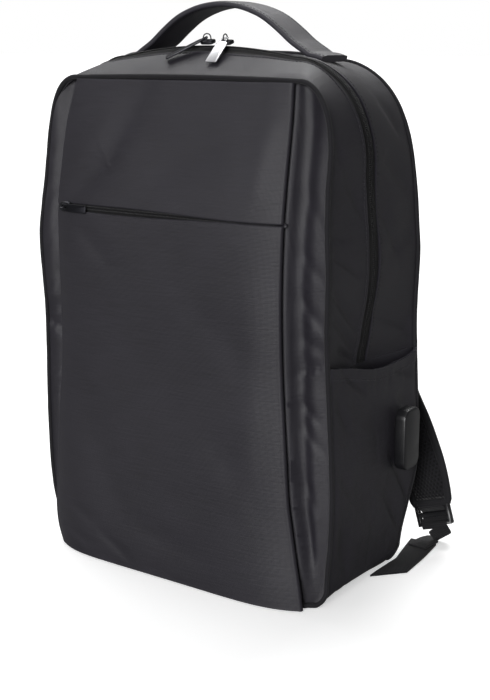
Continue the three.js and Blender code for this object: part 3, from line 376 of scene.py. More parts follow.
def wall(grid: np.ndarray, thickness: float) -> Shape:
    """A closed sheet: the grid, the same grid moved towards the body's heart by the thickness, and rims.

    Args:
        grid: points of the outer face.
        thickness: of the sheet.

    Returns:
        The closed surface.
    """
    rows, columns = grid.shape[:2]
    normal = grid_normals(grid)
    middle = (rows // 2, columns // 2)
    inward = np.sign(normal[middle] @ (np.array(HEART) - grid[middle]))
    inner = grid + inward * thickness * normal
    count = rows * columns
    ids = np.arange(count).reshape(rows, columns)
    outer_faces = quads_of(ids)
    inner_faces = quads_of(ids + count)[:, ::-1]
    rim = np.concatenate([ids[0, :-1], ids[:-1, -1], ids[-1, :0:-1], ids[:0:-1, 0]])
    after = np.roll(rim, -1)
    rims = np.stack([rim, after, after + count, rim + count], 1)
    points = np.concatenate([grid.reshape(-1, 3), inner.reshape(-1, 3)])
    uv = np.tile(cloth_uv(grid).reshape(-1, 2), (2, 1))
    faces = [outer_faces, inner_faces, rims]
    return Shape(points, faces, [uv[f] for f in faces]).outward()


def tube(path: np.ndarray, across: np.ndarray, out: np.ndarray, section: np.ndarray,
         wide: np.ndarray | float = 1.0, thick: np.ndarray | float = 1.0, ring: bool = False) -> Shape:
    """A closed section carried along a path, its ends closed by fans or joined to each other.

    Args:
        path: points along the middle.
        across: unit direction of the section's first axis at each point.
        out: unit direction of its second axis at each point.
        section: the section's corners.
        wide: scale of the first axis at each point.
        thick: scale of the second axis at each point.
        ring: whether the path closes on itself.

    Returns:
        The closed surface, with u round the section and v along the path.
    """
    stations, sides = len(path), len(section)
    wide = np.broadcast_to(wide, stations)[:, None, None]
    thick = np.broadcast_to(thick, stations)[:, None, None]
    sideways = wide * section[:, 0, None] * across[:, None]
    grid = path[:, None] + sideways + thick * section[:, 1, None] * out[:, None]
    ids = np.arange(stations * sides).reshape(stations, sides)
    ids = np.concatenate([ids, ids[:, :1]], 1)
    run = run_of(path)
    if ring:
        ids = np.concatenate([ids, ids[:1]])
        run = np.append(run, run[-1] + np.linalg.norm(path[0] - path[-1]))
    edge = np.linalg.norm(np.roll(section, -1, 0) - section, axis=1)
    round_u = np.concatenate([[0], np.cumsum(edge)])
    place = np.stack(np.meshgrid(round_u, run), -1) * MM
    corners = quads_of(np.arange(ids.size).reshape(ids.shape))
    faces, uv = [ids.reshape(-1)[corners]], [place.reshape(-1, 2)[corners]]
    points = grid.reshape(-1, 3)
    if not ring:
        first, last = ids[0], ids[-1]
        caps = np.array([len(points), len(points) + 1])
        points = np.concatenate([points, path[[0, -1]]])
        head = np.stack([first[:-1], first[1:], np.full(sides, caps[0])], 1)
        tail = np.stack([last[1:], last[:-1], np.full(sides, caps[1])], 1)
        flat = np.concatenate([head, tail])
        faces.append(flat)
        local = np.concatenate([section, section[:1], [[0, 0]]]) * MM
        index = np.stack([np.arange(sides), np.arange(sides) + 1, np.full(sides, sides + 1)], 1)
        uv.append(np.concatenate([local[index], local[index[:, [1, 0, 2]]]]))
    return Shape(points, faces, uv).outward()


def smooth_line(points: Sequence[Sequence[float]], count: int) -> np.ndarray:
    """Evenly spaced points on a smooth curve: cubics whose slopes follow the square roots of the distances.

    Args:
        points: what the curve passes through.
        count: how many points to return.

    Returns:
        The points along the curve.
    """
    p = np.array(points, float)
    p = np.concatenate([[2 * p[0] - p[1]], p, [2 * p[-1] - p[-2]]])
    gap = np.linalg.norm(np.diff(p, axis=0), axis=1, keepdims=True) ** 0.5
    step = np.diff(p, axis=0) / gap
    slope = step[:-1] - (p[2:] - p[:-2]) / (gap[:-1] + gap[1:]) + step[1:]
    s = np.linspace(0, 1, 40)[None, :, None]
    a, b = p[1:-2, None], p[2:-1, None]
    leave, reach = (slope[:-1] * gap[1:-1])[:, None], (slope[1:] * gap[1:-1])[:, None]
    fine = (a * (2 * s**3 - 3 * s**2 + 1) + b * (3 * s**2 - 2 * s**3)
            + leave * (s**3 - 2 * s**2 + s) + reach * (s**3 - s**2)).reshape(-1, 3)
    return respaced(fine, count)


def respaced(line: np.ndarray, count: int) -> np.ndarray:
    """Evenly spaced points along a line, by its length."""
    return read_along(line, line, np.linspace(0, run_of(line)[-1], count))


def frames_along(path: np.ndarray, outward: np.ndarray,
                 ring: bool = False) -> tuple[np.ndarray, np.ndarray, np.ndarray]:
    """Tangent, across and out at each point of a path, with out as near as it can be to a given direction.

    Args:
        path: points along the middle.
        outward: wished direction, one for all points or one for each.
        ring: whether the path closes on itself.

    Returns:
        The three unit directions at each point.
    """
    if ring:
        tangent = unit(np.roll(path, -1, 0) - np.roll(path, 1, 0))
    else:
        tangent = unit(np.gradient(path, axis=0))
    across = unit(np.cross(tangent, np.broadcast_to(outward, path.shape)))
    return tangent, across, np.cross(across, tangent)


def rounded_section(width: float, height: float, radius: float, steps: int = 4) -> np.ndarray:
    """A rectangle with rounded corners: a quarter circle round the middle of each corner in turn.

    Args:
        width: of the rectangle.
        height: of the rectangle.
        radius: of its corners.
        steps: edges in each corner.

    Returns:
        The points round its edge.
    """
    quarter = np.linspace(0, np.pi / 2, steps + 1)
    turns = [(1, 1, 0), (-1, 1, 1), (-1, -1, 2), (1, -1, 3)]
    parts = [
        np.stack([sx * (width / 2 - radius) + radius * np.cos(quarter + k * np.pi / 2),
                  sy * (height / 2 - radius) + radius * np.sin(quarter + k * np.pi / 2)], -1)
        for sx, sy, k in turns
    ]
    return np.concatenate(parts)


def round_section(radius: float, sides: int) -> np.ndarray:
    """A circle as points round its edge."""
    angle = np.arange(sides) * 2 * np.pi / sides
    return radius * np.stack([np.cos(angle), np.sin(angle)], -1)


def lozenges(centres: np.ndarray, along: np.ndarray, up: np.ndarray, length: float, radius: float) -> Shape:
    """Many slim rounded bars in one surface: two rings of six points between two pointed ends for each.

    Args:
        centres: middle of each bar.
        along: unit direction of each bar.
        up: unit direction across each bar.
        length: of a bar.
        radius: of a bar.

    Returns:
        The joined bars.
    """
    sides = 6
    ring = round_section(radius, sides)
    flat = np.zeros((2 * sides + 2, 3))
    flat[0, 0], flat[-1, 0] = -length / 2, length / 2
    flat[1:sides + 1] = np.column_stack([np.full(sides, -0.34 * length), ring])
    flat[sides + 1:-1] = np.column_stack([np.full(sides, 0.34 * length), ring])
    side = np.cross(up, along)
    points = (centres[:, None] + flat[None, :, 0, None] * along[:, None]
              + flat[None, :, 1, None] * side[:, None] + flat[None, :, 2, None] * up[:, None])
    k = np.arange(sides)
    after = (k + 1) % sides
    quads = np.stack([1 + k, 1 + after, 1 + sides + after, 1 + sides + k], 1)
    last = 2 * sides + 1
    tips = np.concatenate([np.stack([after + 1, k + 1, 0 * k], 1),
                           np.stack([k + 1 + sides, after + 1 + sides, 0 * k + last], 1)])
    shift = (np.arange(len(centres)) * len(flat))[:, None, None]
    faces = [(quads[None] + shift).reshape(-1, 4), (tips[None] + shift).reshape(-1, 3)]
    uv = [np.zeros((*f.shape, 2)) for f in faces]
    return Shape(points.reshape(-1, 3), faces, uv).outward()


@dataclass(frozen=True)
class Thread:
    """A sewing thread and how it is stitched. Lengths in millimetres."""

    pitch: float = 3.4
    stitch: float = 2.5
    radius: float = 0.33
    sink: float = 0.05

    def sew(self, line: np.ndarray, up: np.ndarray) -> Shape:
        """Lays stitches along a line on the cloth.

        Args:
            line: points of the seam on the cloth.
            up: unit direction out of the cloth at each point.

        Returns:
            The stitches.
        """
        at = np.arange(self.pitch / 2, run_of(line)[-1], self.pitch)
        centres, normal = read_along(line, line, at), unit(read_along(line, up, at))
        along = unit(read_along(line, np.gradient(line, axis=0), at))
        normal = unit(normal - (normal * along).sum(-1, keepdims=True) * along)
        return lozenges(centres - normal * self.sink, along, normal, self.stitch, self.radius)


@dataclass(frozen=True)
class Coil:
    """A zip's coil: two rows of turns, set half a pitch apart. Lengths in millimetres."""

    reach: float
    pitch: float
    radius: float
    rise: float = 0.7
    length: float = 2.1

    def beside(self, line: np.ndarray, out: np.ndarray) -> Shape:
        """Lays one row on each side of the zip's middle line.

        Args:
            line: points of the middle line.
            out: unit direction out of the tape, one for all points or one for each.

        Returns:
            The joined turns.
        """
        out = np.broadcast_to(out, line.shape)
        parts = []
        for side, shift in ((-1, 0.25), (1, 0.75)):
            at = np.arange(self.pitch * shift, run_of(line)[-1], self.pitch)
            along = unit(read_along(line, np.gradient(line, axis=0), at))
            up = unit(read_along(line, out, at))
            across = unit(np.cross(up, along))
            centres = read_along(line, line, at) + across * side * self.reach + up * self.radius * self.rise
            parts.append(lozenges(centres, across, up, self.reach * self.length, self.radius))
        return Shape.join(parts)


def add_node(tree: bpy.types.NodeTree, kind: str, inputs: dict | None = None,
             **settings: object) -> bpy.types.Node:
    """Adds a node, sets its properties, and gives each named input a value or a link.

    Args:
        tree: the node tree.
        kind: the node's type.
        inputs: socket name or number to a value, or to the output that feeds it.
        settings: the node's own properties.

    Returns:
        The node.
    """
    made = tree.nodes.new(kind)
    for name, value in settings.items():
        setattr(made, name, value)
    for socket, value in (inputs or {}).items():
        if isinstance(value, bpy.types.NodeSocket):
            tree.links.new(value, made.inputs[socket])
        else:
            made.inputs[socket].default_value = value
    return made


def blank_material(name: str) -> tuple[bpy.types.Material, bpy.types.NodeTree, bpy.types.Node]:
    """A material with only its output and a Principled shader.

    Args:
        name: the material's name.

    Returns:
        The material, its node tree and the shader.
    """
    material = bpy.data.materials.new(name)
    material.use_nodes = True
    tree = material.node_tree
    tree.nodes.clear()
    shader = add_node(tree, "ShaderNodeBsdfPrincipled")
    add_node(tree, "ShaderNodeOutputMaterial", {"Surface": shader.outputs["BSDF"]})
    return material, tree, shader


def two_tone(tree: bpy.types.NodeTree, factor: bpy.types.NodeSocket, dark: str,
             light: str) -> bpy.types.NodeSocket:
    """A colour between two tones by a factor.

    Args:
        tree: the node tree.
        factor: 0 for the dark tone, 1 for the light one.
        dark: sRGB colour.
        light: sRGB colour.

    Returns:
        The colour's socket.
    """
    ramp = add_node(tree, "ShaderNodeValToRGB", {"Fac": factor})
    ramp.color_ramp.elements[0].color = srgb(dark)
    ramp.color_ramp.elements[1].color = srgb(light)
    return ramp.outputs["Color"]


def weighted(tree: bpy.types.NodeTree, start: float,
             parts: Sequence[tuple[bpy.types.NodeSocket, float]]) -> bpy.types.NodeSocket:
    """A start value plus each output times its weight.

    Args:
        tree: the node tree.
        start: the start value.
        parts: outputs and their weights.

    Returns:
        The sum's socket.
    """
    total: bpy.types.NodeSocket | float = start
    for socket, weight in parts:
        node = add_node(tree, "ShaderNodeMath", {0: socket, 1: weight, 2: total}, operation="MULTIPLY_ADD")
        total = node.outputs[0]
    return total


@dataclass(frozen=True)
class WovenPolyester:
    """Plain woven polyester, dyed charcoal, with a faint rib of thicker weft threads.

    The eye gets a matte, slightly silky face with fine cross hatching, streaks along the weft and soft blotches, and
    a painted highlight on its sharp folds.
    thread_mm is coarser than the real 0.5 mm thread, so that the weave shows.
    """

    name: str = "charcoal_woven_polyester"
    dark: str = "#110f14"
    light: str = "#2d2b33"
    thread_mm: float = 0.95
    streak_mm: tuple[float, float] = (30.0, 1.7)
    blotch_mm: float = 55.0
    bump_mm: float = 0.22
    roughness: float = 0.52
    sheen: float = 0.02

    def material(self) -> bpy.types.Material:
        """Builds the weave from two sine waves whose product tells the warp from the weft.

        Returns:
            The material.
        """
        material, tree, shader = blank_material(self.name)
        cloth = add_node(tree, "ShaderNodeTexCoord").outputs["UV"]
        split = add_node(tree, "ShaderNodeSeparateXYZ", {0: cloth})
        waves = []
        for axis in (0, 1):
            turns = add_node(tree, "ShaderNodeMath", {0: split.outputs[axis], 1: math.pi / (self.thread_mm * MM)},
                             operation="MULTIPLY")
            waves.append(add_node(tree, "ShaderNodeMath", {0: turns.outputs[0]}, operation="SINE").outputs[0])
        weave = add_node(tree, "ShaderNodeMath", {0: waves[0], 1: waves[1]}, operation="MULTIPLY").outputs[0]
        pillow = add_node(tree, "ShaderNodeMath", {0: weave}, operation="ABSOLUTE").outputs[0]
        long_mm, high_mm = self.streak_mm
        stretched = add_node(tree, "ShaderNodeMapping",
                             {"Vector": cloth, "Scale": (1 / (long_mm * MM), 1 / (high_mm * MM), 1)})
        streak = add_node(tree, "ShaderNodeTexNoise",
                          {"Vector": stretched.outputs[0], "Scale": 1.0, "Detail": 3.0})
        blotch = add_node(tree, "ShaderNodeTexNoise",
                          {"Vector": cloth, "Scale": 1 / (self.blotch_mm * MM), "Detail": 3.0})
        # Painted highlight: the tone is lighter on sharp convex folds, read from pointiness.
        edge = add_node(tree, "ShaderNodeNewGeometry").outputs["Pointiness"]
        fold_highlight = add_node(tree, "ShaderNodeMapRange",
                        {"Value": edge, "From Min": 0.51, "From Max": 0.58, "To Min": 0.0, "To Max": 1.0})
        tone = weighted(tree, 0.02, [(weave, 0.07), (streak.outputs["Fac"], 0.55), (blotch.outputs["Fac"], 0.4),
                                     (fold_highlight.outputs[0], 0.22)])
        height = weighted(tree, 0.0, [(pillow, 0.6), (streak.outputs["Fac"], 0.9)])
        bump = add_node(tree, "ShaderNodeBump",
                        {"Height": height, "Distance": self.bump_mm * MM, "Strength": 0.75})
        rough = weighted(tree, self.roughness - 0.06, [(streak.outputs["Fac"], 0.12)])
        tree.links.new(two_tone(tree, tone, self.dark, self.light), shader.inputs["Base Color"])
        tree.links.new(rough, shader.inputs["Roughness"])
        tree.links.new(bump.outputs[0], shader.inputs["Normal"])
        shader.inputs["Sheen Weight"].default_value = self.sheen
        shader.inputs["Sheen Roughness"].default_value = 0.4
        return material


@dataclass(frozen=True)
class SpacerMesh:
    """Knitted polyester spacer mesh over foam: rows of round openings set like bricks, in a dull black face."""

    name: str = "black_spacer_mesh"
    dark: str = "#030304"
    light: str = "#17161a"
    cell_mm: float = 3.4
    hole: float = 0.30
    fuzz_mm: float = 0.6
    bump_mm: float = 0.5
    roughness: float = 0.85

    def material(self) -> bpy.types.Material:
        """Builds the openings from the distance to the nearer point of two crossed lattices.

        Returns:
            The material.
        """
        material, tree, shader = blank_material(self.name)
        cloth = add_node(tree, "ShaderNodeTexCoord").outputs["UV"]
        rise = self.cell_mm * math.sqrt(3)
        near = []
        for shift in (0.0, 0.5):
            cell = add_node(tree, "ShaderNodeMapping", {
                "Vector": cloth, "Location": (shift, shift, 0),
                "Scale": (1 / (self.cell_mm * MM), 1 / (rise * MM), 0)})
            part = add_node(tree, "ShaderNodeVectorMath", {0: cell.outputs[0]}, operation="FRACTION")
            centred = add_node(tree, "ShaderNodeVectorMath", {0: part.outputs[0], 1: (0.5, 0.5, 0.0)},
                               operation="SUBTRACT")
            scaled = add_node(tree, "ShaderNodeVectorMath", {0: centred.outputs[0], 1: (1, math.sqrt(3), 0)},
                              operation="MULTIPLY")
            away = add_node(tree, "ShaderNodeVectorMath", {0: scaled.outputs[0]}, operation="LENGTH")
            near.append(away.outputs[1])
        nearest = add_node(tree, "ShaderNodeMath", {0: near[0], 1: near[1]}, operation="MINIMUM").outputs[0]
        strand = add_node(tree, "ShaderNodeMapRange", {
            "Value": nearest, "From Min": self.hole * 0.75, "From Max": self.hole * 1.3}).outputs[0]
        fuzz = add_node(tree, "ShaderNodeTexNoise",
                        {"Vector": cloth, "Scale": 1 / (self.fuzz_mm * MM), "Detail": 2.0})
        tone = weighted(tree, -0.1, [(strand, 0.75), (fuzz.outputs["Fac"], 0.3)])
        height = weighted(tree, 0.0, [(strand, 1.0), (fuzz.outputs["Fac"], 0.25)])
        bump = add_node(tree, "ShaderNodeBump",
                        {"Height": height, "Distance": self.bump_mm * MM, "Strength": 0.9})
        tree.links.new(two_tone(tree, tone, self.dark, self.light), shader.inputs["Base Color"])
        tree.links.new(bump.outputs[0], shader.inputs["Normal"])
        shader.inputs["Roughness"].default_value = self.roughness
        shader.inputs["Sheen Weight"].default_value = 0.1
        shader.inputs["Specular IOR Level"].default_value = 0.25
        return material


@dataclass(frozen=True)
class RibbedTape:
    """Narrow woven tape: binding, piping, zip tape or webbing, with ribs across it and a dull thread face."""

    name: str
    dark: str
    light: str
    rib_mm: float
    bump_mm: float = 0.3
    roughness: float = 0.8
    ribs_along: bool = False
    fibre_mm: float = 0.8
    patch_mm: float = 25

    def material(self) -> bpy.types.Material:
        """Builds the ribs from one sine wave and breaks them up with noise of the thread's size.

        Returns:
            The material.
        """
        material, tree, shader = blank_material(self.name)
        cloth = add_node(tree, "ShaderNodeTexCoord").outputs["UV"]
        split = add_node(tree, "ShaderNodeSeparateXYZ", {0: cloth})
        axis = 0 if self.ribs_along else 1
        turns = add_node(tree, "ShaderNodeMath", {0: split.outputs[axis], 1: 2 * math.pi / (self.rib_mm * MM)},
                         operation="MULTIPLY")
        rib = add_node(tree, "ShaderNodeMath", {0: turns.outputs[0]}, operation="SINE").outputs[0]
        fibre = add_node(tree, "ShaderNodeTexNoise",
                         {"Vector": cloth, "Scale": 1 / (self.fibre_mm * MM), "Detail": 3.0})
        patch = add_node(tree, "ShaderNodeTexNoise",
                         {"Vector": cloth, "Scale": 1 / (self.patch_mm * MM), "Detail": 2.0})
        tone = weighted(tree, -0.02, [(rib, 0.14), (fibre.outputs["Fac"], 0.6), (patch.outputs["Fac"], 0.4)])
        height = weighted(tree, 0.5, [(rib, 0.35), (fibre.outputs["Fac"], 0.4)])
        bump = add_node(tree, "ShaderNodeBump",
                        {"Height": height, "Distance": self.bump_mm * MM, "Strength": 0.8})
        tree.links.new(two_tone(tree, tone, self.dark, self.light), shader.inputs["Base Color"])
        tree.links.new(bump.outputs[0], shader.inputs["Normal"])
        shader.inputs["Roughness"].default_value = self.roughness
        shader.inputs["Sheen Weight"].default_value = 0.1
        shader.inputs["Specular IOR Level"].default_value = 0.3
        return material


@dataclass(frozen=True)
class CastMetal:
    """Die-cast zinc, plated: a smooth metal face with faint polishing lines, painted shade in its hollows and a
    painted highlight on its edges.
    """

    name: str
    dark: str
    light: str
    roughness: float
    grain_mm: float = 0.4

    def material(self) -> bpy.types.Material:
        """Builds the polishing lines from noise stretched along X and keeps metal's default IOR.

        Returns:
            The material.
        """
        material, tree, shader = blank_material(self.name)
        place = add_node(tree, "ShaderNodeTexCoord").outputs["Object"]
        scale = 1 / (self.grain_mm * MM)
        lines = add_node(tree, "ShaderNodeMapping", {"Vector": place, "Scale": (scale * 0.08, scale, scale)})
        grain = add_node(tree, "ShaderNodeTexNoise", {"Vector": lines.outputs[0], "Scale": 1.0, "Detail": 3.0})
        # Painted shade and highlight: by pointiness, the tone is darker in hollows and lighter on edges.
        edge = add_node(tree, "ShaderNodeNewGeometry").outputs["Pointiness"]
        tone = weighted(tree, -0.6, [(grain.outputs["Fac"], 0.5), (edge, 1.9)])
        rough = weighted(tree, self.roughness - 0.08, [(grain.outputs["Fac"], 0.16)])
        bump = add_node(tree, "ShaderNodeBump", {"Height": grain.outputs["Fac"], "Distance": 0.02 * MM})
        tree.links.new(two_tone(tree, tone, self.dark, self.light), shader.inputs["Base Color"])
        tree.links.new(rough, shader.inputs["Roughness"])
        tree.links.new(bump.outputs[0], shader.inputs["Normal"])
        shader.inputs["Metallic"].default_value = 1.0
        return material


@dataclass(frozen=True)
class MouldedPlastic:
    """Injection moulded ABS with a fine spark-eroded texture, satin where hands have rubbed it."""

    name: str
    dark: str
    light: str
    roughness: float
    grain_mm: float = 0.5
    rubbed_mm: float = 9

    def material(self) -> bpy.types.Material:
        """Builds the moulded grain from fine noise and the rubbed satin from coarse noise.

        Returns:
            The material.
        """
        material, tree, shader = blank_material(self.name)
        place = add_node(tree, "ShaderNodeTexCoord").outputs["Object"]
        grain = add_node(tree, "ShaderNodeTexNoise",
                         {"Vector": place, "Scale": 1 / (self.grain_mm * MM), "Detail": 2.0})
        rubbed = add_node(tree, "ShaderNodeTexNoise",
                          {"Vector": place, "Scale": 1 / (self.rubbed_mm * MM), "Detail": 2.0})
        tone = weighted(tree, 0.1, [(grain.outputs["Fac"], 0.35), (rubbed.outputs["Fac"], 0.45)])
        rough = weighted(tree, self.roughness - 0.1, [(rubbed.outputs["Fac"], 0.2)])
        bump = add_node(tree, "ShaderNodeBump", {"Height": grain.outputs["Fac"], "Distance": 0.05 * MM})
        tree.links.new(two_tone(tree, tone, self.dark, self.light), shader.inputs["Base Color"])
        tree.links.new(rough, shader.inputs["Roughness"])
        tree.links.new(bump.outputs[0], shader.inputs["Normal"])
        shader.inputs["IOR"].default_value = 1.53
        return material


class Finishes:
    """Every finish of the bag, each built once."""

    def __init__(self) -> None:
        """Builds the materials and names the record's slot for each."""
        self.cloth = (WovenPolyester().material(), Slot.CLOTH)
        # Painted light: a lighter copy of the body cloth for the handle, which is lit from above.
        self.band = (WovenPolyester("handle_cloth_painted_lighter", "#16151a", "#3a3840").material(), Slot.CLOTH)
        self.mesh = (SpacerMesh().material(), Slot.PADDING)
        self.binding = (RibbedTape("black_grosgrain_binding", "#0a0a0c", "#1d1c20", 1.3).material(), Slot.BINDING)
        self.piping = (RibbedTape("bias_cut_piping", "#0b0a0d", "#201f24", 1.0, 0.2).material(), Slot.BINDING)
        self.tape = (RibbedTape("black_zip_tape", "#050506", "#131214", 0.9, 0.2, 0.8, True).material(), Slot.ZIP)
        self.coil = (MouldedPlastic("nylon_zip_coil", "#060607", "#161518", 0.5, 0.3).material(), Slot.ZIP)
        self.webbing = (RibbedTape("black_webbing", "#08080a", "#1b1a1e", 1.9, 0.5).material(), Slot.WEBBING)
        self.thread = (RibbedTape("black_sewing_thread", "#1b1a1d", "#38373c", 0.5, 0.1).material(), Slot.BINDING)
        self.steel = (CastMetal("bright_plated_zinc", "#a6a6aa", "#ececee", 0.42).material(), Slot.STEEL)
        self.smoked = (CastMetal("smoked_plated_zinc", "#1b1b1d", "#57575c", 0.36).material(), Slot.STEEL)
        self.gunmetal = (CastMetal("gunmetal_plated_zinc", "#141416", "#3a3a3f", 0.36).material(), Slot.GUNMETAL)
        self.plastic = (MouldedPlastic("black_moulded_abs", "#09090a", "#1a1a1d", 0.34).material(), Slot.PLASTIC)
        self.socket = (CastMetal("stamped_socket_steel", "#7d7d80", "#c8c8ca", 0.3).material(), Slot.SOCKET)


def dress(obj: bpy.types.Object, finish: tuple[bpy.types.Material, Slot], replaced: Sequence[str] = (),
          body: Body = Body.BAG) -> bpy.types.Object:
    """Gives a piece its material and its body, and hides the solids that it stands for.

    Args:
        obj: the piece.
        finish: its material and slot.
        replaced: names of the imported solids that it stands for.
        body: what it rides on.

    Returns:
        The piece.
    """
    material, slot = finish
    obj.data.materials.clear()
    obj.data.materials.append(material)
    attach(obj, body.value)
    if replaced:
        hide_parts(*replaced)
    log.info("%-28s %7d faces", obj.name, len(obj.data.polygons))
    return obj


def finished_solid(node: str, finish: tuple[bpy.types.Material, Slot], bevel_mm: float,
                   body: Body = Body.BAG) -> bpy.types.Object:
    """A packed hard solid with its corners merged and its edges rounded, in place of the faceted one.

    Args:
        node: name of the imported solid.
        finish: material and slot.
        bevel_mm: how far the edges are rounded.
        body: what it rides on.

    Returns:
        The new piece.
    """
    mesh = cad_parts[node].data.copy()
    mesh.name = node + "_finished"
    shape = bmesh.new()
    shape.from_mesh(mesh)
    bmesh.ops.remove_doubles(shape, verts=shape.verts, dist=0.01 * MM)
    bmesh.ops.dissolve_limit(shape, angle_limit=math.radians(1), verts=shape.verts, edges=shape.edges)
    shape.to_mesh(mesh)
    shape.free()
    obj = bpy.data.objects.new(mesh.name, mesh)
    bpy.context.scene.collection.objects.link(obj)
    mesh.shade_smooth()
    bevel = obj.modifiers.new("rounded edges", "BEVEL")
    bevel.width = bevel_mm * MM
    bevel.segments = 2
    bevel.limit_method = "ANGLE"
    bevel.angle_limit = math.radians(35)
    bevel.harden_normals = True
    return dress(obj, finish, [node], body)


@dataclass(frozen=True)
class BagForm:
    """The form that every cloth piece follows. Lengths in millimetres."""

    width: float = 290
    depth: float = 142
    height: float = 434
    hem: float = 186
    foot_radius: float = 14
    foot_front: float = 40
    foot_back: float = 50
    cloth: float = 2.2
    piping_radius: float = 2
    overlay_cloth: float = 1.8
    fold_radius: float = 2.6
    zip_height: float = 303
    slit: float = 6
    pocket_space: float = 6
    tuck: float = 0.9
    flatness: float = 6

    @property
    def half(self) -> float:
        """Half the width."""
        return self.width / 2

    def outline(self, seam: Seam, place: np.ndarray) -> tuple[np.ndarray, np.ndarray]:
        """A seam's outline on the right side: straight stretches between elliptical corners.

        Args:
            seam: the seam.
            place: places from 0 at the middle of the base to 6 at the middle of the top.

        Returns:
            x and z at each place.
        """
        half = seam.half * self.half
        shoulder = (seam.top - seam.crown) * self.height
        corner_x, corner_z = seam.corner_x * self.half, seam.corner_z * self.height
        step = np.clip(np.floor(place), 0, 5)
        s = place - step
        turn = s * np.pi / 2
        foot, level = self.foot_radius, 0 * s
        at = [step == k for k in range(6)]
        x = np.select(at, [s * (half - foot), half - foot * (1 - np.sin(turn)), half + level, half + level,
                           half - corner_x * (1 - np.cos(turn)), (half - corner_x) * (1 - s)])
        z = np.select(at, [level, foot * (1 - np.cos(turn)), foot + s * (self.hem - foot),
                           self.hem + s * (shoulder - corner_z - self.hem),
                           shoulder - corner_z * (1 - np.sin(turn)),
                           shoulder + seam.crown * self.height * (1 - (1 - s) ** 2)])
        return x, z

    def place_at(self, seam: Seam, z: np.ndarray) -> np.ndarray:
        """The place up a seam's right side at each height, which undoes the outline's corners by arc functions.

        Args:
            seam: the seam.
            z: heights.

        Returns:
            One place for each height.
        """
        shoulder = (seam.top - seam.crown) * self.height
        corner = seam.corner_z * self.height
        foot = self.foot_radius
        arc = np.arccos(np.clip(1 - z / foot, -1, 1))
        bend = np.arcsin(np.clip(1 - (shoulder - z) / corner, -1, 1))
        return np.select(
            [z < foot, z < self.hem, z < shoulder - corner],
            [1 + arc * 2 / np.pi, 2 + (z - foot) / (self.hem - foot),
             3 + (z - self.hem) / (shoulder - corner - self.hem)],
            4 + bend * 2 / np.pi)

    def settled(self, x: np.ndarray, z: np.ndarray) -> np.ndarray:
        """The x of the settled bag for the x and z that the outlines give."""
        x, share = np.broadcast_arrays(np.asarray(x, float), np.asarray(z, float) / self.height)
        return x * np.where(x < 0, SETTLE.read("left", share), SETTLE.read("right", share))

    def seam_y(self, course: Table, place: np.ndarray) -> np.ndarray:
        """Depth of a seam at each place."""
        return self.depth * (course.read("depth", place) - 0.5)

    def skin(self, side: np.ndarray, place: np.ndarray, y: np.ndarray, lift: np.ndarray | float = 0.0,
             swell: float = 1.0) -> np.ndarray:
        """Points of the side and top cloth: the seams' outlines blended by depth, and moved out by the swell.

        Args:
            side: 1 on the right, -1 on the left.
            place: place along the outline.
            y: depth.
            lift: distance out along the outline's normal.
            swell: share of the cloth's swell that counts.

        Returns:
            One point for each entry.
        """
        side, place, y, lift = np.broadcast_arrays(side, place, y, lift)
        zip_y = self.seam_y(ZIP_COURSE, place)
        ahead = y < zip_y
        end_y = np.where(ahead, self.seam_y(FRONT_COURSE, place), self.seam_y(REAR_COURSE, place))
        share = np.clip((y - zip_y) / (end_y - zip_y), 0, 1)

        def at(p: np.ndarray) -> np.ndarray:
            """The blended outline at a place."""
            a, f, r = (np.stack(self.outline(seam, p)) for seam in (ZIP_SEAM, FRONT_SEAM, REAR_SEAM))
            return a + (np.where(ahead, f, r) - a) * share

        x, z = at(place)
        run = at(np.minimum(place + 0.01, 6)) - at(np.maximum(place - 0.01, 0))
        length = np.hypot(*run)
        out = lift + swell * SWELL.read("out", place) * self.half * np.cos(share * np.pi / 2)
        z = z - run[0] / length * out
        return np.stack([self.settled(side * (x + run[1] / length * out), z), y, z], -1)

    def dent(self, x: np.ndarray, z: np.ndarray) -> np.ndarray:
        """Main dents and folds of the overlay, as depth below its smooth form."""
        return OVERLAY_DENTS.press(x, z)

    def overlay_row(self, z: np.ndarray) -> dict[str, np.ndarray]:
        """The overlay's row at each height.

        Args:
            z: heights.

        Returns:
            The depth of its middle and of its folds, and the x of its left and right fold.
        """
        share = np.asarray(z, float) / self.height
        middle, fold, left, right = (OVERLAY.read(name, share) for name in ("middle", "fold", "left", "right"))
        return {"middle": self.depth * (middle - 0.5), "fold": self.depth * (fold - 0.5),
                "left": -left * self.half, "right": right * self.half}

    def overlay_y(self, x: np.ndarray, z: np.ndarray) -> np.ndarray:
        """Depth of the overlay's face: its middle line, falling to the folds by a high power of the distance.

        Args:
            x: places across.
            z: heights.

        Returns:
            One depth for each place.
        """
        row = self.overlay_row(z)
        share = np.minimum(np.abs(x / np.where(x < 0, row["left"], row["right"])), 1)
        body = row["middle"] + (row["fold"] - row["middle"]) * share**self.flatness
        return body + self.dent(x, z) * (1 - share**8)

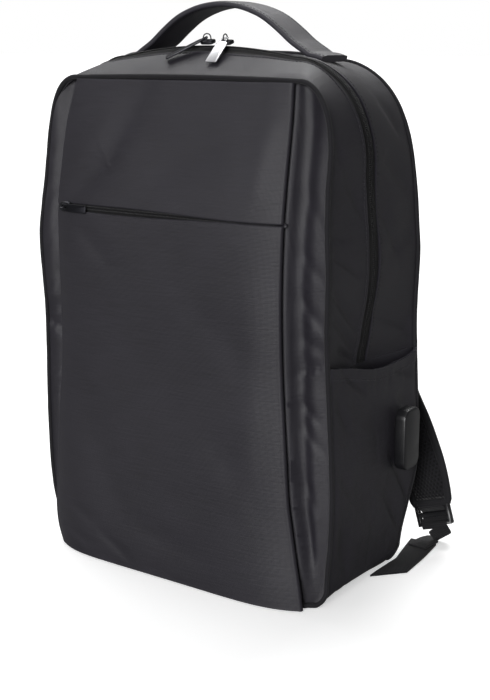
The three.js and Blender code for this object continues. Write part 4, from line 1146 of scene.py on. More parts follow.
    def front_wall_y(self, x: np.ndarray, z: np.ndarray, inset: float) -> np.ndarray:
        """Depth of the front wall: behind the overlay in the middle, rising to the piping at its edges.

        Args:
            x: places across.
            z: heights.
            inset: distance of the wall's edge in from the seam.

        Returns:
            One depth for each place.
        """
        place = self.place_at(FRONT_SEAM, z)
        edge = np.abs(self.settled(np.copysign(self.outline(FRONT_SEAM, place)[0] - inset, x), z))
        row = self.overlay_row(z)
        fold = np.where(x < 0, -row["left"], row["right"])
        rise = np.clip((np.abs(x) - fold + 4) / np.maximum(edge - fold + 4, 1), 0, 1)
        rise = rise * rise * (3 - 2 * rise)
        side_y = self.seam_y(FRONT_COURSE, place)
        flat = self.half - self.foot_radius
        seam_y = self.seam_y(FRONT_COURSE, np.minimum(np.abs(x) / flat, 1.1))
        low = 1 - smoothstep(z, 0, self.foot_front)
        inner = (row["fold"] + self.pocket_space) * (1 - low) + (seam_y + self.piping_radius) * low
        y = inner * (1 - rise) + side_y * rise
        hidden = np.maximum(y, self.overlay_y(x, z) + self.overlay_cloth + 0.6)
        return np.where(np.abs(x) < fold, hidden, y)

    def fill(self, seam: Seam, inset: float, rows: int, columns: int) -> tuple[np.ndarray, np.ndarray]:
        """A grid of x and z that fills a seam's outline, set in from it.

        Args:
            seam: the seam.
            inset: distance in from the seam.
            rows: rows up the outline.
            columns: columns across.

        Returns:
            x and z on the grid.
        """
        lowest = 2.0
        first = 1 + 2 * math.acos((self.foot_radius - lowest) / (self.foot_radius - inset)) / math.pi
        place = np.concatenate([np.linspace(first, 2, rows // 8, False), np.linspace(2, 3, rows * 3 // 8, False),
                                np.linspace(3, 4, rows // 4, False), np.linspace(4, 5, rows // 4)])
        x, z = self.outline(seam, place)
        run = np.stack(self.outline(seam, np.minimum(place + 0.01, 5)))
        run = run - np.stack(self.outline(seam, place - 0.01))
        run /= np.hypot(*run)
        edge, z = x - run[1] * inset, z + run[0] * inset
        s = np.linspace(-1, 1, columns)
        grid_x = edge[:, None] * s * (1.25 - 0.25 * s * s)
        flat = (seam.half - seam.corner_x) * self.half
        level = smoothstep(z, self.height / 2, (seam.top - seam.crown) * self.height)[:, None]
        crown = seam.crown * self.height * level * np.maximum(0, 1 - (grid_x / flat) ** 2)
        return self.settled(grid_x, z[:, None]), z[:, None] + crown

    def on_top(self, x: float, y: float) -> np.ndarray:
        """Finds a point of the top cloth by reading the place along the outline where its x is met.

        Args:
            x: across.
            y: depth.

        Returns:
            The point.
        """
        place = np.linspace(4, 6, 4001)
        line = self.skin(np.ones_like(place), place, np.full_like(place, y))
        at = np.interp(-abs(x), -line[:, 0], place)
        point = self.skin(np.array([1.0]), np.array([at]), np.array([y]))[0]
        return point * (math.copysign(1, x), 1, 1)


FORM = BagForm()
# The overlay's dents: u0 and u1 shares of half the width, v0 and v1 of the height.
OVERLAY_DENTS = Creases(
    FORM.half, FORM.height,
    (-0.74, 0.70, -0.40, 0.785, 2.6, 20, 0.6),
    (-0.40, 0.785, -0.18, 0.93, 2.2, 18, 0.6),
    (-0.10, 0.76, 0.55, 0.86, 1.0, 19, 0.8),
    (-0.62, 0.67, -0.34, 0.60, 1.0, 11, 0.7),
    (0.20, 0.55, 0.70, 0.42, 0.7, 18, 0.9),
    (-0.70, 0.40, -0.30, 0.12, 1.0, 20, 0.9),
    (0.35, 0.30, 0.75, 0.16, 0.8, 18, 0.8),
    (-0.20, 0.10, 0.30, 0.06, 0.8, 13, 0.8),
    (-0.78, 0.055, -0.55, 0.03, 1.0, 6, 0.6),
    (-0.74, 0.115, -0.50, 0.075, 0.8, 7, 0.6),
    (-0.44, 0.06, -0.22, 0.02, 0.8, 6, 0.6),
    (0.62, 0.74, 0.68, 0.88, -1.2, 10, 0.7),
    (0.60, 0.20, 0.66, 0.60, -0.9, 14, 0.8),
)
# Creases of the side cloth: u0 and u1 shares of the depth behind the front piping, v0 and v1 of the height.
SIDE_CREASES = Creases(
    FORM.depth, FORM.height,
    (0.05, 0.645, 0.33, 0.60, 2.0, 6, 0.45),
    (0.03, 0.585, 0.36, 0.50, 2.6, 7, 0.4),
    (0.08, 0.535, 0.38, 0.455, 2.2, 6, 0.45),
    (0.02, 0.68, 0.20, 0.665, 1.3, 5, 0.5),
    (0.16, 0.470, 0.40, 0.435, 1.8, 5, 0.5),
    (0.20, 0.78, 0.38, 0.70, 1.4, 8, 0.6),
    (0.06, 0.86, 0.16, 0.80, 1.5, 6, 0.6),
    (0.62, 0.80, 0.90, 0.74, 2.0, 11, 0.6),
    (0.55, 0.52, 0.95, 0.47, 2.2, 9, 0.5),
    (0.60, 0.62, 0.96, 0.66, 1.5, 11, 0.7),
    (0.58, 0.70, 0.80, 0.60, 1.6, 8, 0.6),
    (0.70, 0.90, 0.86, 0.84, 1.8, 9, 0.6),
)
# Creases of the pocket cloth, in the same shares as the side's.
POCKET_CREASES = Creases(
    FORM.depth, FORM.height,
    (0.16, 0.43, 0.36, 0.385, 2.2, 6, 0.45),
    (0.05, 0.40, 0.18, 0.33, 1.8, 7, 0.5),
    (0.70, 0.405, 0.97, 0.375, 1.8, 6, 0.5),
    (0.76, 0.35, 0.98, 0.30, 1.8, 7, 0.5),
    (0.66, 0.24, 0.93, 0.12, 2.4, 8, 0.45),
    (0.60, 0.17, 0.90, 0.05, 2.2, 8, 0.5),
    (0.25, 0.22, 0.55, 0.10, 1.7, 13, 0.8),
    (0.10, 0.16, 0.22, 0.05, 1.7, 8, 0.6),
    (0.30, 0.36, 0.62, 0.27, 1.4, 12, 0.8),
    (0.05, 0.27, 0.20, 0.20, 1.4, 7, 0.6),
)
# Creases of the strip beside each fold: u0 and u1 run from the fold at 0 to the piping at 1, v of the height.
STRIP_CREASES = Creases(
    FORM.half, FORM.height,
    (0.05, 0.66, 0.95, 0.60, 1.1, 8, 0.5),
    (0.05, 0.58, 0.90, 0.52, 1.7, 9, 0.45),
    (0.10, 0.50, 0.98, 0.475, 1.3, 7, 0.5),
    (0.05, 0.385, 0.80, 0.35, 1.5, 7, 0.5),
    (0.20, 0.34, 0.98, 0.29, 1.3, 8, 0.5),
    (0.05, 0.25, 0.70, 0.19, 0.9, 10, 0.6),
    (0.05, 0.77, 0.80, 0.70, 1.0, 11, 0.6),
)


@dataclass
class FrontPanels:
    """The front wall, the overlay's two panels with their free folded edges, and the zip in the slit.

    Lengths in millimetres. The wall dips by well beside each fold and rises by ledge over the pocket hem's line.
    """

    finishes: Finishes
    form: BagForm = FORM
    top_gap: float = 1.2
    well: float = 8.0
    ledge: float = 2.6
    wall_sink: float = 1.2
    lip_turn_deg: float = 165
    roll: float = 1.5
    roll_turn_deg: float = 130
    tape_reach: float = 4.2
    tape_sink: float = 2.0
    tape_cloth: float = 0.8
    coil: Coil = Coil(1.15, 1.3, 0.42)

    def build(self) -> None:
        """Builds and dresses every piece of the front."""
        self.front_wall()
        top = (FRONT_SEAM.top - FRONT_SEAM.crown) * self.form.height
        self.overlay("front_panel_lower", self.form.tuck, None)
        self.overlay("front_panel_upper", None, top - self.top_gap)
        self.front_zip()

    def front_wall(self) -> None:
        """The wall that shows as a strip beside each fold, puckered below the height of the pocket hem."""
        form = self.form
        x, z = form.fill(FRONT_SEAM, form.tuck, 208, 130)
        smooth = form.front_wall_y(x, z, form.tuck)
        row = form.overlay_row(z)
        fold = np.where(x < 0, -row["left"], row["right"])
        out = np.clip((np.abs(x) - fold) / np.maximum(form.half - fold, 1), 0, 1)
        band = np.sin(np.pi * out) ** 0.8
        points = np.stack([x, smooth, z], -1)
        hem_z = form.hem * (0.985 + 0.08 * out)
        ledge = self.ledge * smoothstep(z, hem_z - 1.5, hem_z + 0.5) * (1 - smoothstep(z, hem_z + 0.5, hem_z + 30))
        slack = STRIP_CREASES.press(out * form.half, z)
        pucker = 0.9 * ripple(points * (1, 1, 1.6), 34, 11) + 0.4 * ripple(points * (1, 1, 1.4), 15, 12)
        well = self.well * np.exp(-((out - 0.26) / 0.26) ** 2) * smoothstep(out, 0, 0.12) * smoothstep(z, 8, 60)
        near_hem = 0.6 + 0.9 * np.exp(-((z - form.hem) / 60) ** 2)
        y = smooth + well + band * (ledge - self.wall_sink + slack + pucker * near_hem)
        y = np.where(np.abs(x) < fold - 3, smooth, y)
        shape = wall(np.stack([x, y, z], -1), form.cloth)
        dress(shape.piece("front_wall_cloth"), self.finishes.cloth, ["front_wall"])

    def overlay_rows(self, heights: np.ndarray) -> np.ndarray:
        """Rows of the overlay from one lip round both folds to the other.

        Each fold is part of a circle of the fold's radius, from the face to the back of the lip.

        Args:
            heights: z for each row and each of the face's columns.

        Returns:
            A grid of points.
        """
        form, radius = self.form, self.form.fold_radius
        turn = np.radians(np.linspace(0, self.lip_turn_deg, 10))
        s = np.linspace(0, 1, heights.shape[1])
        row = form.overlay_row(heights)
        x = row["left"] + radius + (row["right"] - row["left"] - 2 * radius) * s
        face = np.stack([x, form.overlay_y(x, heights), heights], -1)
        lips = []
        for side, column in ((-1, 0), (1, -1)):
            z = heights[:, column]
            ends = form.overlay_row(z)
            fold = ends["left"] if side < 0 else ends["right"]
            centre_y = face[:, column, 1] + radius
            lip_x = (fold - side * radius)[:, None] + side * radius * np.sin(turn)
            lip_y = centre_y[:, None] - radius * np.cos(turn)
            lip = np.stack([lip_x, lip_y, np.repeat(z[:, None], len(turn), 1)], -1)[:, 1:]
            lips.append(lip[:, ::-1] if side < 0 else lip)
        return np.concatenate([lips[0], face, lips[1]], 1)

    def overlay(self, name: str, foot: float | None, top: float | None) -> None:
        """One panel of the overlay, whose edge at the slit is rolled in.

        Args:
            name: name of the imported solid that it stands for.
            foot: height of its lower edge, or None where that edge is at the slit.
            top: height of its upper edge, or None where that edge is at the slit.
        """
        form = self.form
        s = np.linspace(0, 1, 150)
        slit = SLIT.read("open", s) * form.slit / 2
        low = np.full_like(s, foot) if foot is not None else form.zip_height + slit
        high = np.full_like(s, top) if top is not None else form.zip_height - slit
        rows = 150 if foot is not None else 72
        v = np.linspace(0, 1, rows)
        v = v**1.15 if foot is None else 1 - (1 - v) ** 1.1
        grid = self.overlay_rows(low + (high - low) * v[:, None])
        grid[..., 1] += 0.22 * ripple(grid * (0.5, 1, 1), 26, 21) + 0.7 * ripple(grid, 85, 22)
        at_slit, step = (grid[0], -1) if foot is None else (grid[-1], 1)
        roll = self.roll
        turn = np.radians(np.linspace(15, self.roll_turn_deg, 7))
        rolled = at_slit[None] + np.stack([
            0 * turn, roll * (1 - np.cos(turn)), step * roll * (np.sin(turn) - 0.9)], -1)[:, None]
        near = np.exp(-np.abs(grid[..., 2:3] - at_slit[None, :, 2:3]) / 4)
        grid = grid - near * (0, 0, step * roll * 0.9)
        grid = np.concatenate([rolled[::-1], grid]) if foot is None else np.concatenate([grid, rolled])
        shape = wall(grid, form.overlay_cloth)
        dress(shape.piece(name + "_cloth"), self.finishes.cloth, [name])

    def front_zip(self) -> None:
        """The tape in the slit and its coil, a row of bars on each side of the middle."""
        form = self.form
        s = np.linspace(0.01, 0.99, 200)
        row = form.overlay_row(np.full_like(s, form.zip_height))
        x = row["left"] + form.fold_radius + (row["right"] - row["left"] - 2 * form.fold_radius) * s
        reach = np.linspace(-1, 1, 12)[:, None]
        z = form.zip_height + reach * self.tape_reach
        y = form.overlay_y(x, np.full_like(x, form.zip_height)) + self.tape_sink + 0 * reach
        grid = np.stack(np.broadcast_arrays(x, y, z), -1)
        shape = wall(grid, self.tape_cloth)
        dress(shape.piece("front_zip_tape_cloth"), self.finishes.tape, ["front_zip_tape"])
        coil = self.coil.beside(grid[6], np.array([0.0, -1.0, 0.0]))
        dress(coil.piece("front_zip_coil"), self.finishes.coil)


@dataclass
class SideBands:
    """The cloth of the sides, top and base: front band, rear band and the trough under the hems.

    Lengths in millimetres. Puckers are small beside the seams and broad all over. The seams draw the cloth in.
    """

    finishes: Finishes
    form: BagForm = FORM
    tape_half: float = 7.5
    small_pucker: float = 0.7
    broad_pucker: float = 1.3
    seam_draw: float = 0.9
    hem_edge: float = 0.2
    hem_fold: float = 0.6

    def arch(self, low: float = 3.0) -> tuple[np.ndarray, np.ndarray]:
        """Sides and places over the top, from the hem on the right to the hem on the left.

        Args:
            low: the place that each side starts from.

        Returns:
            1 or -1, and the place, for each row.
        """
        place = np.concatenate([np.linspace(low, 4, 90, False), np.linspace(4, 5, 80, False),
                                np.linspace(5, 6, 70)])
        side = np.ones_like(place)
        return np.concatenate([side, -side[:-1]]), np.concatenate([place, place[-2::-1]])

    def band(self, side: np.ndarray, place: np.ndarray, start: np.ndarray, stop: np.ndarray, steps: int,
             seed: int) -> np.ndarray:
        """A grid of skin points between two depths, with puckers along its seams and creases on the sides.

        Args:
            side: 1 or -1 for each row.
            place: place of each row.
            start: depth where each row starts.
            stop: depth where each row ends.
            steps: columns.
            seed: number that picks the puckers.

        Returns:
            The grid.
        """
        form = self.form
        s = np.linspace(0, 1, steps)
        y = start[:, None] + (stop - start)[:, None] * s
        base = form.skin(side[:, None], place[:, None], y)
        upright = 1 - smoothstep(place, 4.2, 4.9)[:, None]
        from_front = y - form.seam_y(FRONT_COURSE, place)[:, None]
        from_rear = form.seam_y(REAR_COURSE, place)[:, None] - y
        seam = np.minimum(from_front, from_rear)
        flow = base * (1, 0.25, 1)
        pucker = self.small_pucker * ripple(flow, 11, seed) * np.exp(-seam / 12)
        pucker = pucker + self.broad_pucker * ripple(base, 34, seed + 1)
        pressed = SIDE_CREASES.press(y + form.depth / 2, base[..., 2]) * upright
        drawn = self.seam_draw * np.exp(-seam / 2.5)
        lift = pucker * smoothstep(seam, 0, 9) - pressed * smoothstep(seam, 2, 12) - drawn
        return form.skin(side[:, None], place[:, None], y, lift)

    def build(self) -> None:
        """Builds and dresses the three bands and the stitches beside the zip."""
        form = self.form
        side, place = self.arch()
        front = form.seam_y(FRONT_COURSE, place) + form.tuck
        rear = form.seam_y(REAR_COURSE, place) - form.tuck
        zip_y = form.seam_y(ZIP_COURSE, place)
        ahead = self.band(side, place, front, zip_y - self.tape_half, 34, 31)
        behind = self.band(side, place, zip_y + self.tape_half, rear, 44, 41)
        for name, grid in (("gusset_front", ahead), ("gusset_rear", behind)):
            edge = -1 if name == "gusset_front" else 0
            self.turned_hem(grid, edge)
            dress(wall(grid, form.cloth).piece(name + "_cloth"), self.finishes.cloth, [name])
        low = np.concatenate([np.linspace(0, 1, 24, False), np.linspace(1, 2, 24, False), np.linspace(2, 3, 70)])
        place = np.concatenate([low[:0:-1], low])
        side = np.concatenate([-np.ones(len(low) - 1), np.ones(len(low))])
        grid = self.band(side, place, form.seam_y(FRONT_COURSE, place) + form.tuck,
                         form.seam_y(REAR_COURSE, place) - form.tuck, 70, 51)
        grid[..., 2] = np.where(np.abs(place[:, None]) < 1.02, 0.0, np.maximum(grid[..., 2], 0.0))
        dress(wall(grid, form.cloth).piece("gusset_lower_cloth"), self.finishes.cloth, ["gusset_lower"])
        rows = [self.sewn(ahead, -3), self.sewn(behind, 2)]
        dress(Shape.join(rows).piece("zip_edge_stitches"), self.finishes.thread)

    def turned_hem(self, grid: np.ndarray, edge: int) -> None:
        """Raises the two columns beside the zip, where the cloth is turned under.

        Args:
            grid: the band, which is changed in place.
            edge: its column beside the zip, 0 or -1.
        """
        outward = outward_normals(grid)
        inner = 1 if edge == 0 else -2
        grid[:, edge] += outward[:, edge] * self.hem_edge
        grid[:, inner] += outward[:, inner] * self.hem_fold

    def sewn(self, grid: np.ndarray, column: int) -> Shape:
        """Stitches along one column of a band."""
        line, up = grid[:, column], outward_normals(grid)[:, column]
        return Thread().sew(line + up * 0.25, up)


@dataclass
class MainZip:
    """The zip over the top: two tapes that meet under a coil. Lengths in millimetres."""

    finishes: Finishes
    bands: SideBands
    reach: float = 8.6
    tape_cloth: float = 0.8
    tape_sink: float = 1.0
    raised: float = 0.9
    raised_half: float = 2.9
    slit_depth: float = 0.25
    slit_half: float = 0.5
    coil: Coil = Coil(1.35, 1.45, 0.55)

    def build(self) -> None:
        """Builds and dresses the tape and the coil."""
        form = self.bands.form
        side, place = self.bands.arch()
        zip_y = form.seam_y(ZIP_COURSE, place)
        s = np.linspace(-1, 1, 25)
        y = zip_y[:, None] + s * self.reach
        from_middle = s * self.reach
        slit = self.slit_depth * np.exp(-(from_middle / self.slit_half) ** 2)
        lift = self.raised * (np.abs(from_middle) < self.raised_half) - slit - self.tape_sink
        grid = form.skin(side[:, None], place[:, None], y, lift)
        dress(wall(grid, self.tape_cloth).piece("zip_tape_main_cloth"), self.finishes.tape, ["zip_tape_main"])
        line = form.skin(side, place, zip_y, -0.1)
        out = unit(form.skin(side, place, zip_y, 1.0) - form.skin(side, place, zip_y, 0.0))
        dress(self.coil.beside(line, out).piece("zip_coil_main"), self.finishes.coil)


@dataclass
class Pipings:
    """The pipings sewn into the front and rear seams. uneven is the share that their thickness varies by."""

    finishes: Finishes
    form: BagForm = FORM
    sides: int = 12
    uneven: float = 0.07
    steps: tuple[int, ...] = (40, 40, 80, 80, 60, 60)

    def build(self) -> None:
        """Builds and dresses both pipings as closed rings of slightly uneven thickness."""
        form = self.form
        for name, seam, course in (("piping_front", FRONT_SEAM, FRONT_COURSE),
                                   ("piping_rear", REAR_SEAM, REAR_COURSE)):
            place = np.concatenate([np.linspace(k, k + 1, n, False) for k, n in enumerate(self.steps)])
            x, z = form.outline(seam, place)
            y = form.seam_y(course, place)
            low_z = np.maximum(z, form.piping_radius)
            right, left = (np.stack([form.settled(side * x, z), y, low_z], -1) for side in (1, -1))
            top = np.array([[0.0, form.seam_y(course, 6.0), form.outline(seam, np.array([6.0]))[1][0]]])
            left = left[:0:-1]
            path = np.concatenate([right, top, left])
            outward = path * (1, 0, 1) - (0, 0, form.height / 2)
            _, across, out = frames_along(path, outward, ring=True)
            swell = 1 + self.uneven * ripple(path, 9, 61)
            section = round_section(form.piping_radius, self.sides)
            shape = tube(path, across, out, section, swell, swell, ring=True)
            dress(shape.piece(name + "_cord"), self.finishes.piping, [name])


@dataclass
class BackPanel:
    """The padded back, quilted along two upright lines and round its edge. Lengths in millimetres."""

    finishes: Finishes
    form: BagForm = FORM
    padding: float = 6.0
    crown: float = 5.0
    channel_x: float = 34.0
    channel_depth: float = 2.6
    channel_half: float = 2.6
    border: float = 17.0
    unevenness: float = 0.4

    def build(self) -> None:
        """Builds the panel: a crowned face, pressed in along the sewn channels."""
        form = self.form
        x, z = form.fill(REAR_SEAM, form.tuck, 160, 120)
        place = form.place_at(REAR_SEAM, z)
        edge = np.abs(form.settled(np.copysign(form.outline(REAR_SEAM, place)[0], x), z))
        across = 1 - np.clip(np.abs(x) / edge, 0, 1) ** 4
        top = REAR_SEAM.top * form.height
        up = smoothstep(z, 0, form.foot_back) * (1 - smoothstep(z, form.height * 0.86, top))
        from_edge = np.minimum.reduce([edge - np.abs(x), z - 2, top - z])
        pressed = np.exp(-((from_edge - self.border) / self.channel_half) ** 2)
        inside = smoothstep(from_edge, self.border - 2, self.border + 4)
        pressed += inside * np.exp(-((np.abs(x) - self.channel_x) / self.channel_half) ** 2)
        seat = (self.padding - form.piping_radius) * smoothstep(from_edge, 0, 7)
        seam_y = form.seam_y(REAR_COURSE, place)
        y = seam_y + seat + self.crown * across * up - self.channel_depth * pressed
        grid = np.stack([x, y, z], -1)
        grid[..., 1] += self.unevenness * ripple(grid, 21, 71)
        piece = dress(wall(grid, self.padding).piece("back_panel_padding"), self.finishes.mesh, ["back_panel"])


@dataclass
class Handle:
    """The carry handle: a band folded of cloth, stitched near both edges, its feet sewn to the top.

    Lengths in millimetres. line runs from a foot to the middle: shares of half the span, and of the rise.
    """

    finishes: Finishes
    form: BagForm = FORM
    width: float = 38.0
    thickness: float = 4.6
    rise: float = 31.0
    span: float = 166.0
    seat: float = 16.0
    depth: float = 9.0
    corner: float = 1.7
    stitch_inset: float = 3.4
    groove: float = 0.55
    crown: float = 0.8
    line: tuple[tuple[float, float], ...] = (
        (0.97, -0.17), (0.84, 0.04), (0.69, 0.35), (0.53, 0.64), (0.4, 0.8), (0.22, 0.94), (0.0, 1.0))

    def path(self) -> np.ndarray:
        """The middle line from the right foot over the arch to the left foot.

        Returns:
            Evenly spaced points.
        """
        half = self.span / 2
        feet = []
        for s in (1.0, 0.6, 0.2):
            x = half + self.seat * s
            beside = [self.form.on_top(x, self.depth + k * self.width)[2] for k in (-0.5, -0.25, 0, 0.25, 0.5)]
            feet.append((x, self.depth, max(beside) + self.thickness / 2))
        arch = [(along * half, self.depth, self.form.height + rise * self.rise) for along, rise in self.line]
        right = feet + arch
        left = [(-x, y, z) for x, y, z in right[-2::-1]]
        return smooth_line(right + left, 220)

    def build(self) -> None:
        """Builds the band with a raised middle between two sewn grooves, and its stitches."""
        path = self.path()
        _, across, out = frames_along(path, np.array([0.0, 0.0, 1.0]))
        section = rounded_section(self.width, self.thickness, self.corner, 4)
        u = np.linspace(-1, 1, 25)[1:-1]
        face = np.stack([-u * (self.width / 2 - self.corner), np.full_like(u, self.thickness / 2)], -1)
        section = np.concatenate([section[:5], face, section[5:15], face[::-1] * (1, -1), section[15:]])
        from_stitch = np.abs(section[:, 0]) - self.width / 2 + self.stitch_inset
        groove = self.groove * np.exp(-(from_stitch / 1.1) ** 2)
        crown = self.crown * (1 - (section[:, 0] / self.width * 2) ** 4)
        section[:, 1] += np.sign(section[:, 1]) * (crown - groove - 0.4)
        shape = tube(path, across, out, section)
        # The band wears the lighter copy of the body cloth: painted light from above.
        dress(shape.piece("handle_band"), self.finishes.band, ["handle"])
        rows = []
        for side in (-1, 1):
            shifted = path + across * side * (self.width / 2 - self.stitch_inset)
            for face_side in (1, -1):
                up = out * face_side
                rows.append(Thread().sew(shifted + up * (self.thickness / 2 - 0.35), up))
        dress(Shape.join(rows).piece("handle_stitches"), self.finishes.thread)


@dataclass
class SidePockets:
    """The open-topped pocket on each side, with its bound hem.

    Lengths in millimetres. foot is the place up the outline where the pocket is sewn in.
    """

    finishes: Finishes
    form: BagForm = FORM
    cloth: float = 1.8
    gap: float = 0.3
    bulge: float = 1.0
    seam_draw: float = 1.6
    foot_draw: float = 2.0
    foot: float = 1.72
    hem_height: float = 9.0
    hem_cloth: float = 1.2
    hem_lift: float = 0.9

    def points(self, side: int, along: np.ndarray, up: np.ndarray, extra: float = 0.0) -> np.ndarray:
        """Points of the pocket's outer face.

        Args:
            side: 1 on the right, -1 on the left.
            along: share from the front piping to the rear.
            up: share from the pocket's foot to its hem.
            extra: distance out from the face.

        Returns:
            One point for each entry.
        """
        form = self.form
        hem_place = form.place_at(ZIP_SEAM, HEM.read("height", along) * form.hem)
        place = self.foot + (hem_place - self.foot) * up
        front = form.seam_y(FRONT_COURSE, place) + form.tuck
        rear = form.seam_y(REAR_COURSE, place) - form.tuck
        y = front + (rear - front) * along
        seam = np.minimum(y - front, rear - y)
        fullness = self.bulge * np.sin(np.pi * along) * up
        lift = self.gap + self.cloth + fullness - self.seam_draw * np.exp(-seam / 3)
        lift = lift - self.foot_draw * np.exp(-(up / 0.05) ** 2)
        base = form.skin(float(side), place, y, lift + extra, 0.0)
        pucker = 0.9 * ripple(base * (1, 1.0, 0.6), 25, 81) + 0.4 * ripple(base * (1, 2.4, 0.7), 12, 82)
        gather = 1.5 * np.exp(-((along - 0.97) / 0.06) ** 2) * np.exp(-((up - 1) / 0.05) ** 2)
        hold = smoothstep(seam, 1, 14)
        pressed = POCKET_CREASES.press(y + form.depth / 2, base[..., 2])
        return form.skin(float(side), place, y, lift + extra + hold * (pucker - pressed) + gather, 0.0)

    def build(self) -> None:
        """Builds and dresses the pocket, hem and hem stitches of each side."""
        along, up = np.meshgrid(np.linspace(0, 1, 80), np.linspace(0, 1, 110))
        for side, name in ((1, "right"), (-1, "left")):
            grid = self.points(side, along, up)
            dress(wall(grid, self.cloth).piece(f"side_pocket_{name}_cloth"), self.finishes.cloth,
                  [f"side_pocket_{name}"])
            reach = self.hem_height / self.form.hem
            hem_along, turn = np.meshgrid(np.linspace(0, 1, 80), np.linspace(0, 1, 12))
            hem_up = 1 - reach * turn
            band = self.points(side, hem_along, hem_up, self.hem_lift)
            dress(wall(band, self.hem_cloth).piece(f"pocket_hem_{name}_cloth"), self.finishes.cloth,
                  [f"pocket_hem_{name}"])
            line = self.points(side, np.linspace(0.02, 0.98, 160), np.full(160, 1 - reach * 0.82),
                               self.hem_lift + 0.1)
            away = np.tile([float(side), 0.0, 0.0], (160, 1))
            dress(Thread().sew(line, away).piece(f"pocket_hem_stitches_{name}"), self.finishes.thread)


@dataclass(frozen=True)
class StrapRow:
    """A station of a strap: shares of half the width, of the depth behind the rear piping, and of the height."""

    across: float
    back: float
    height: float
    wide: float = 1.0


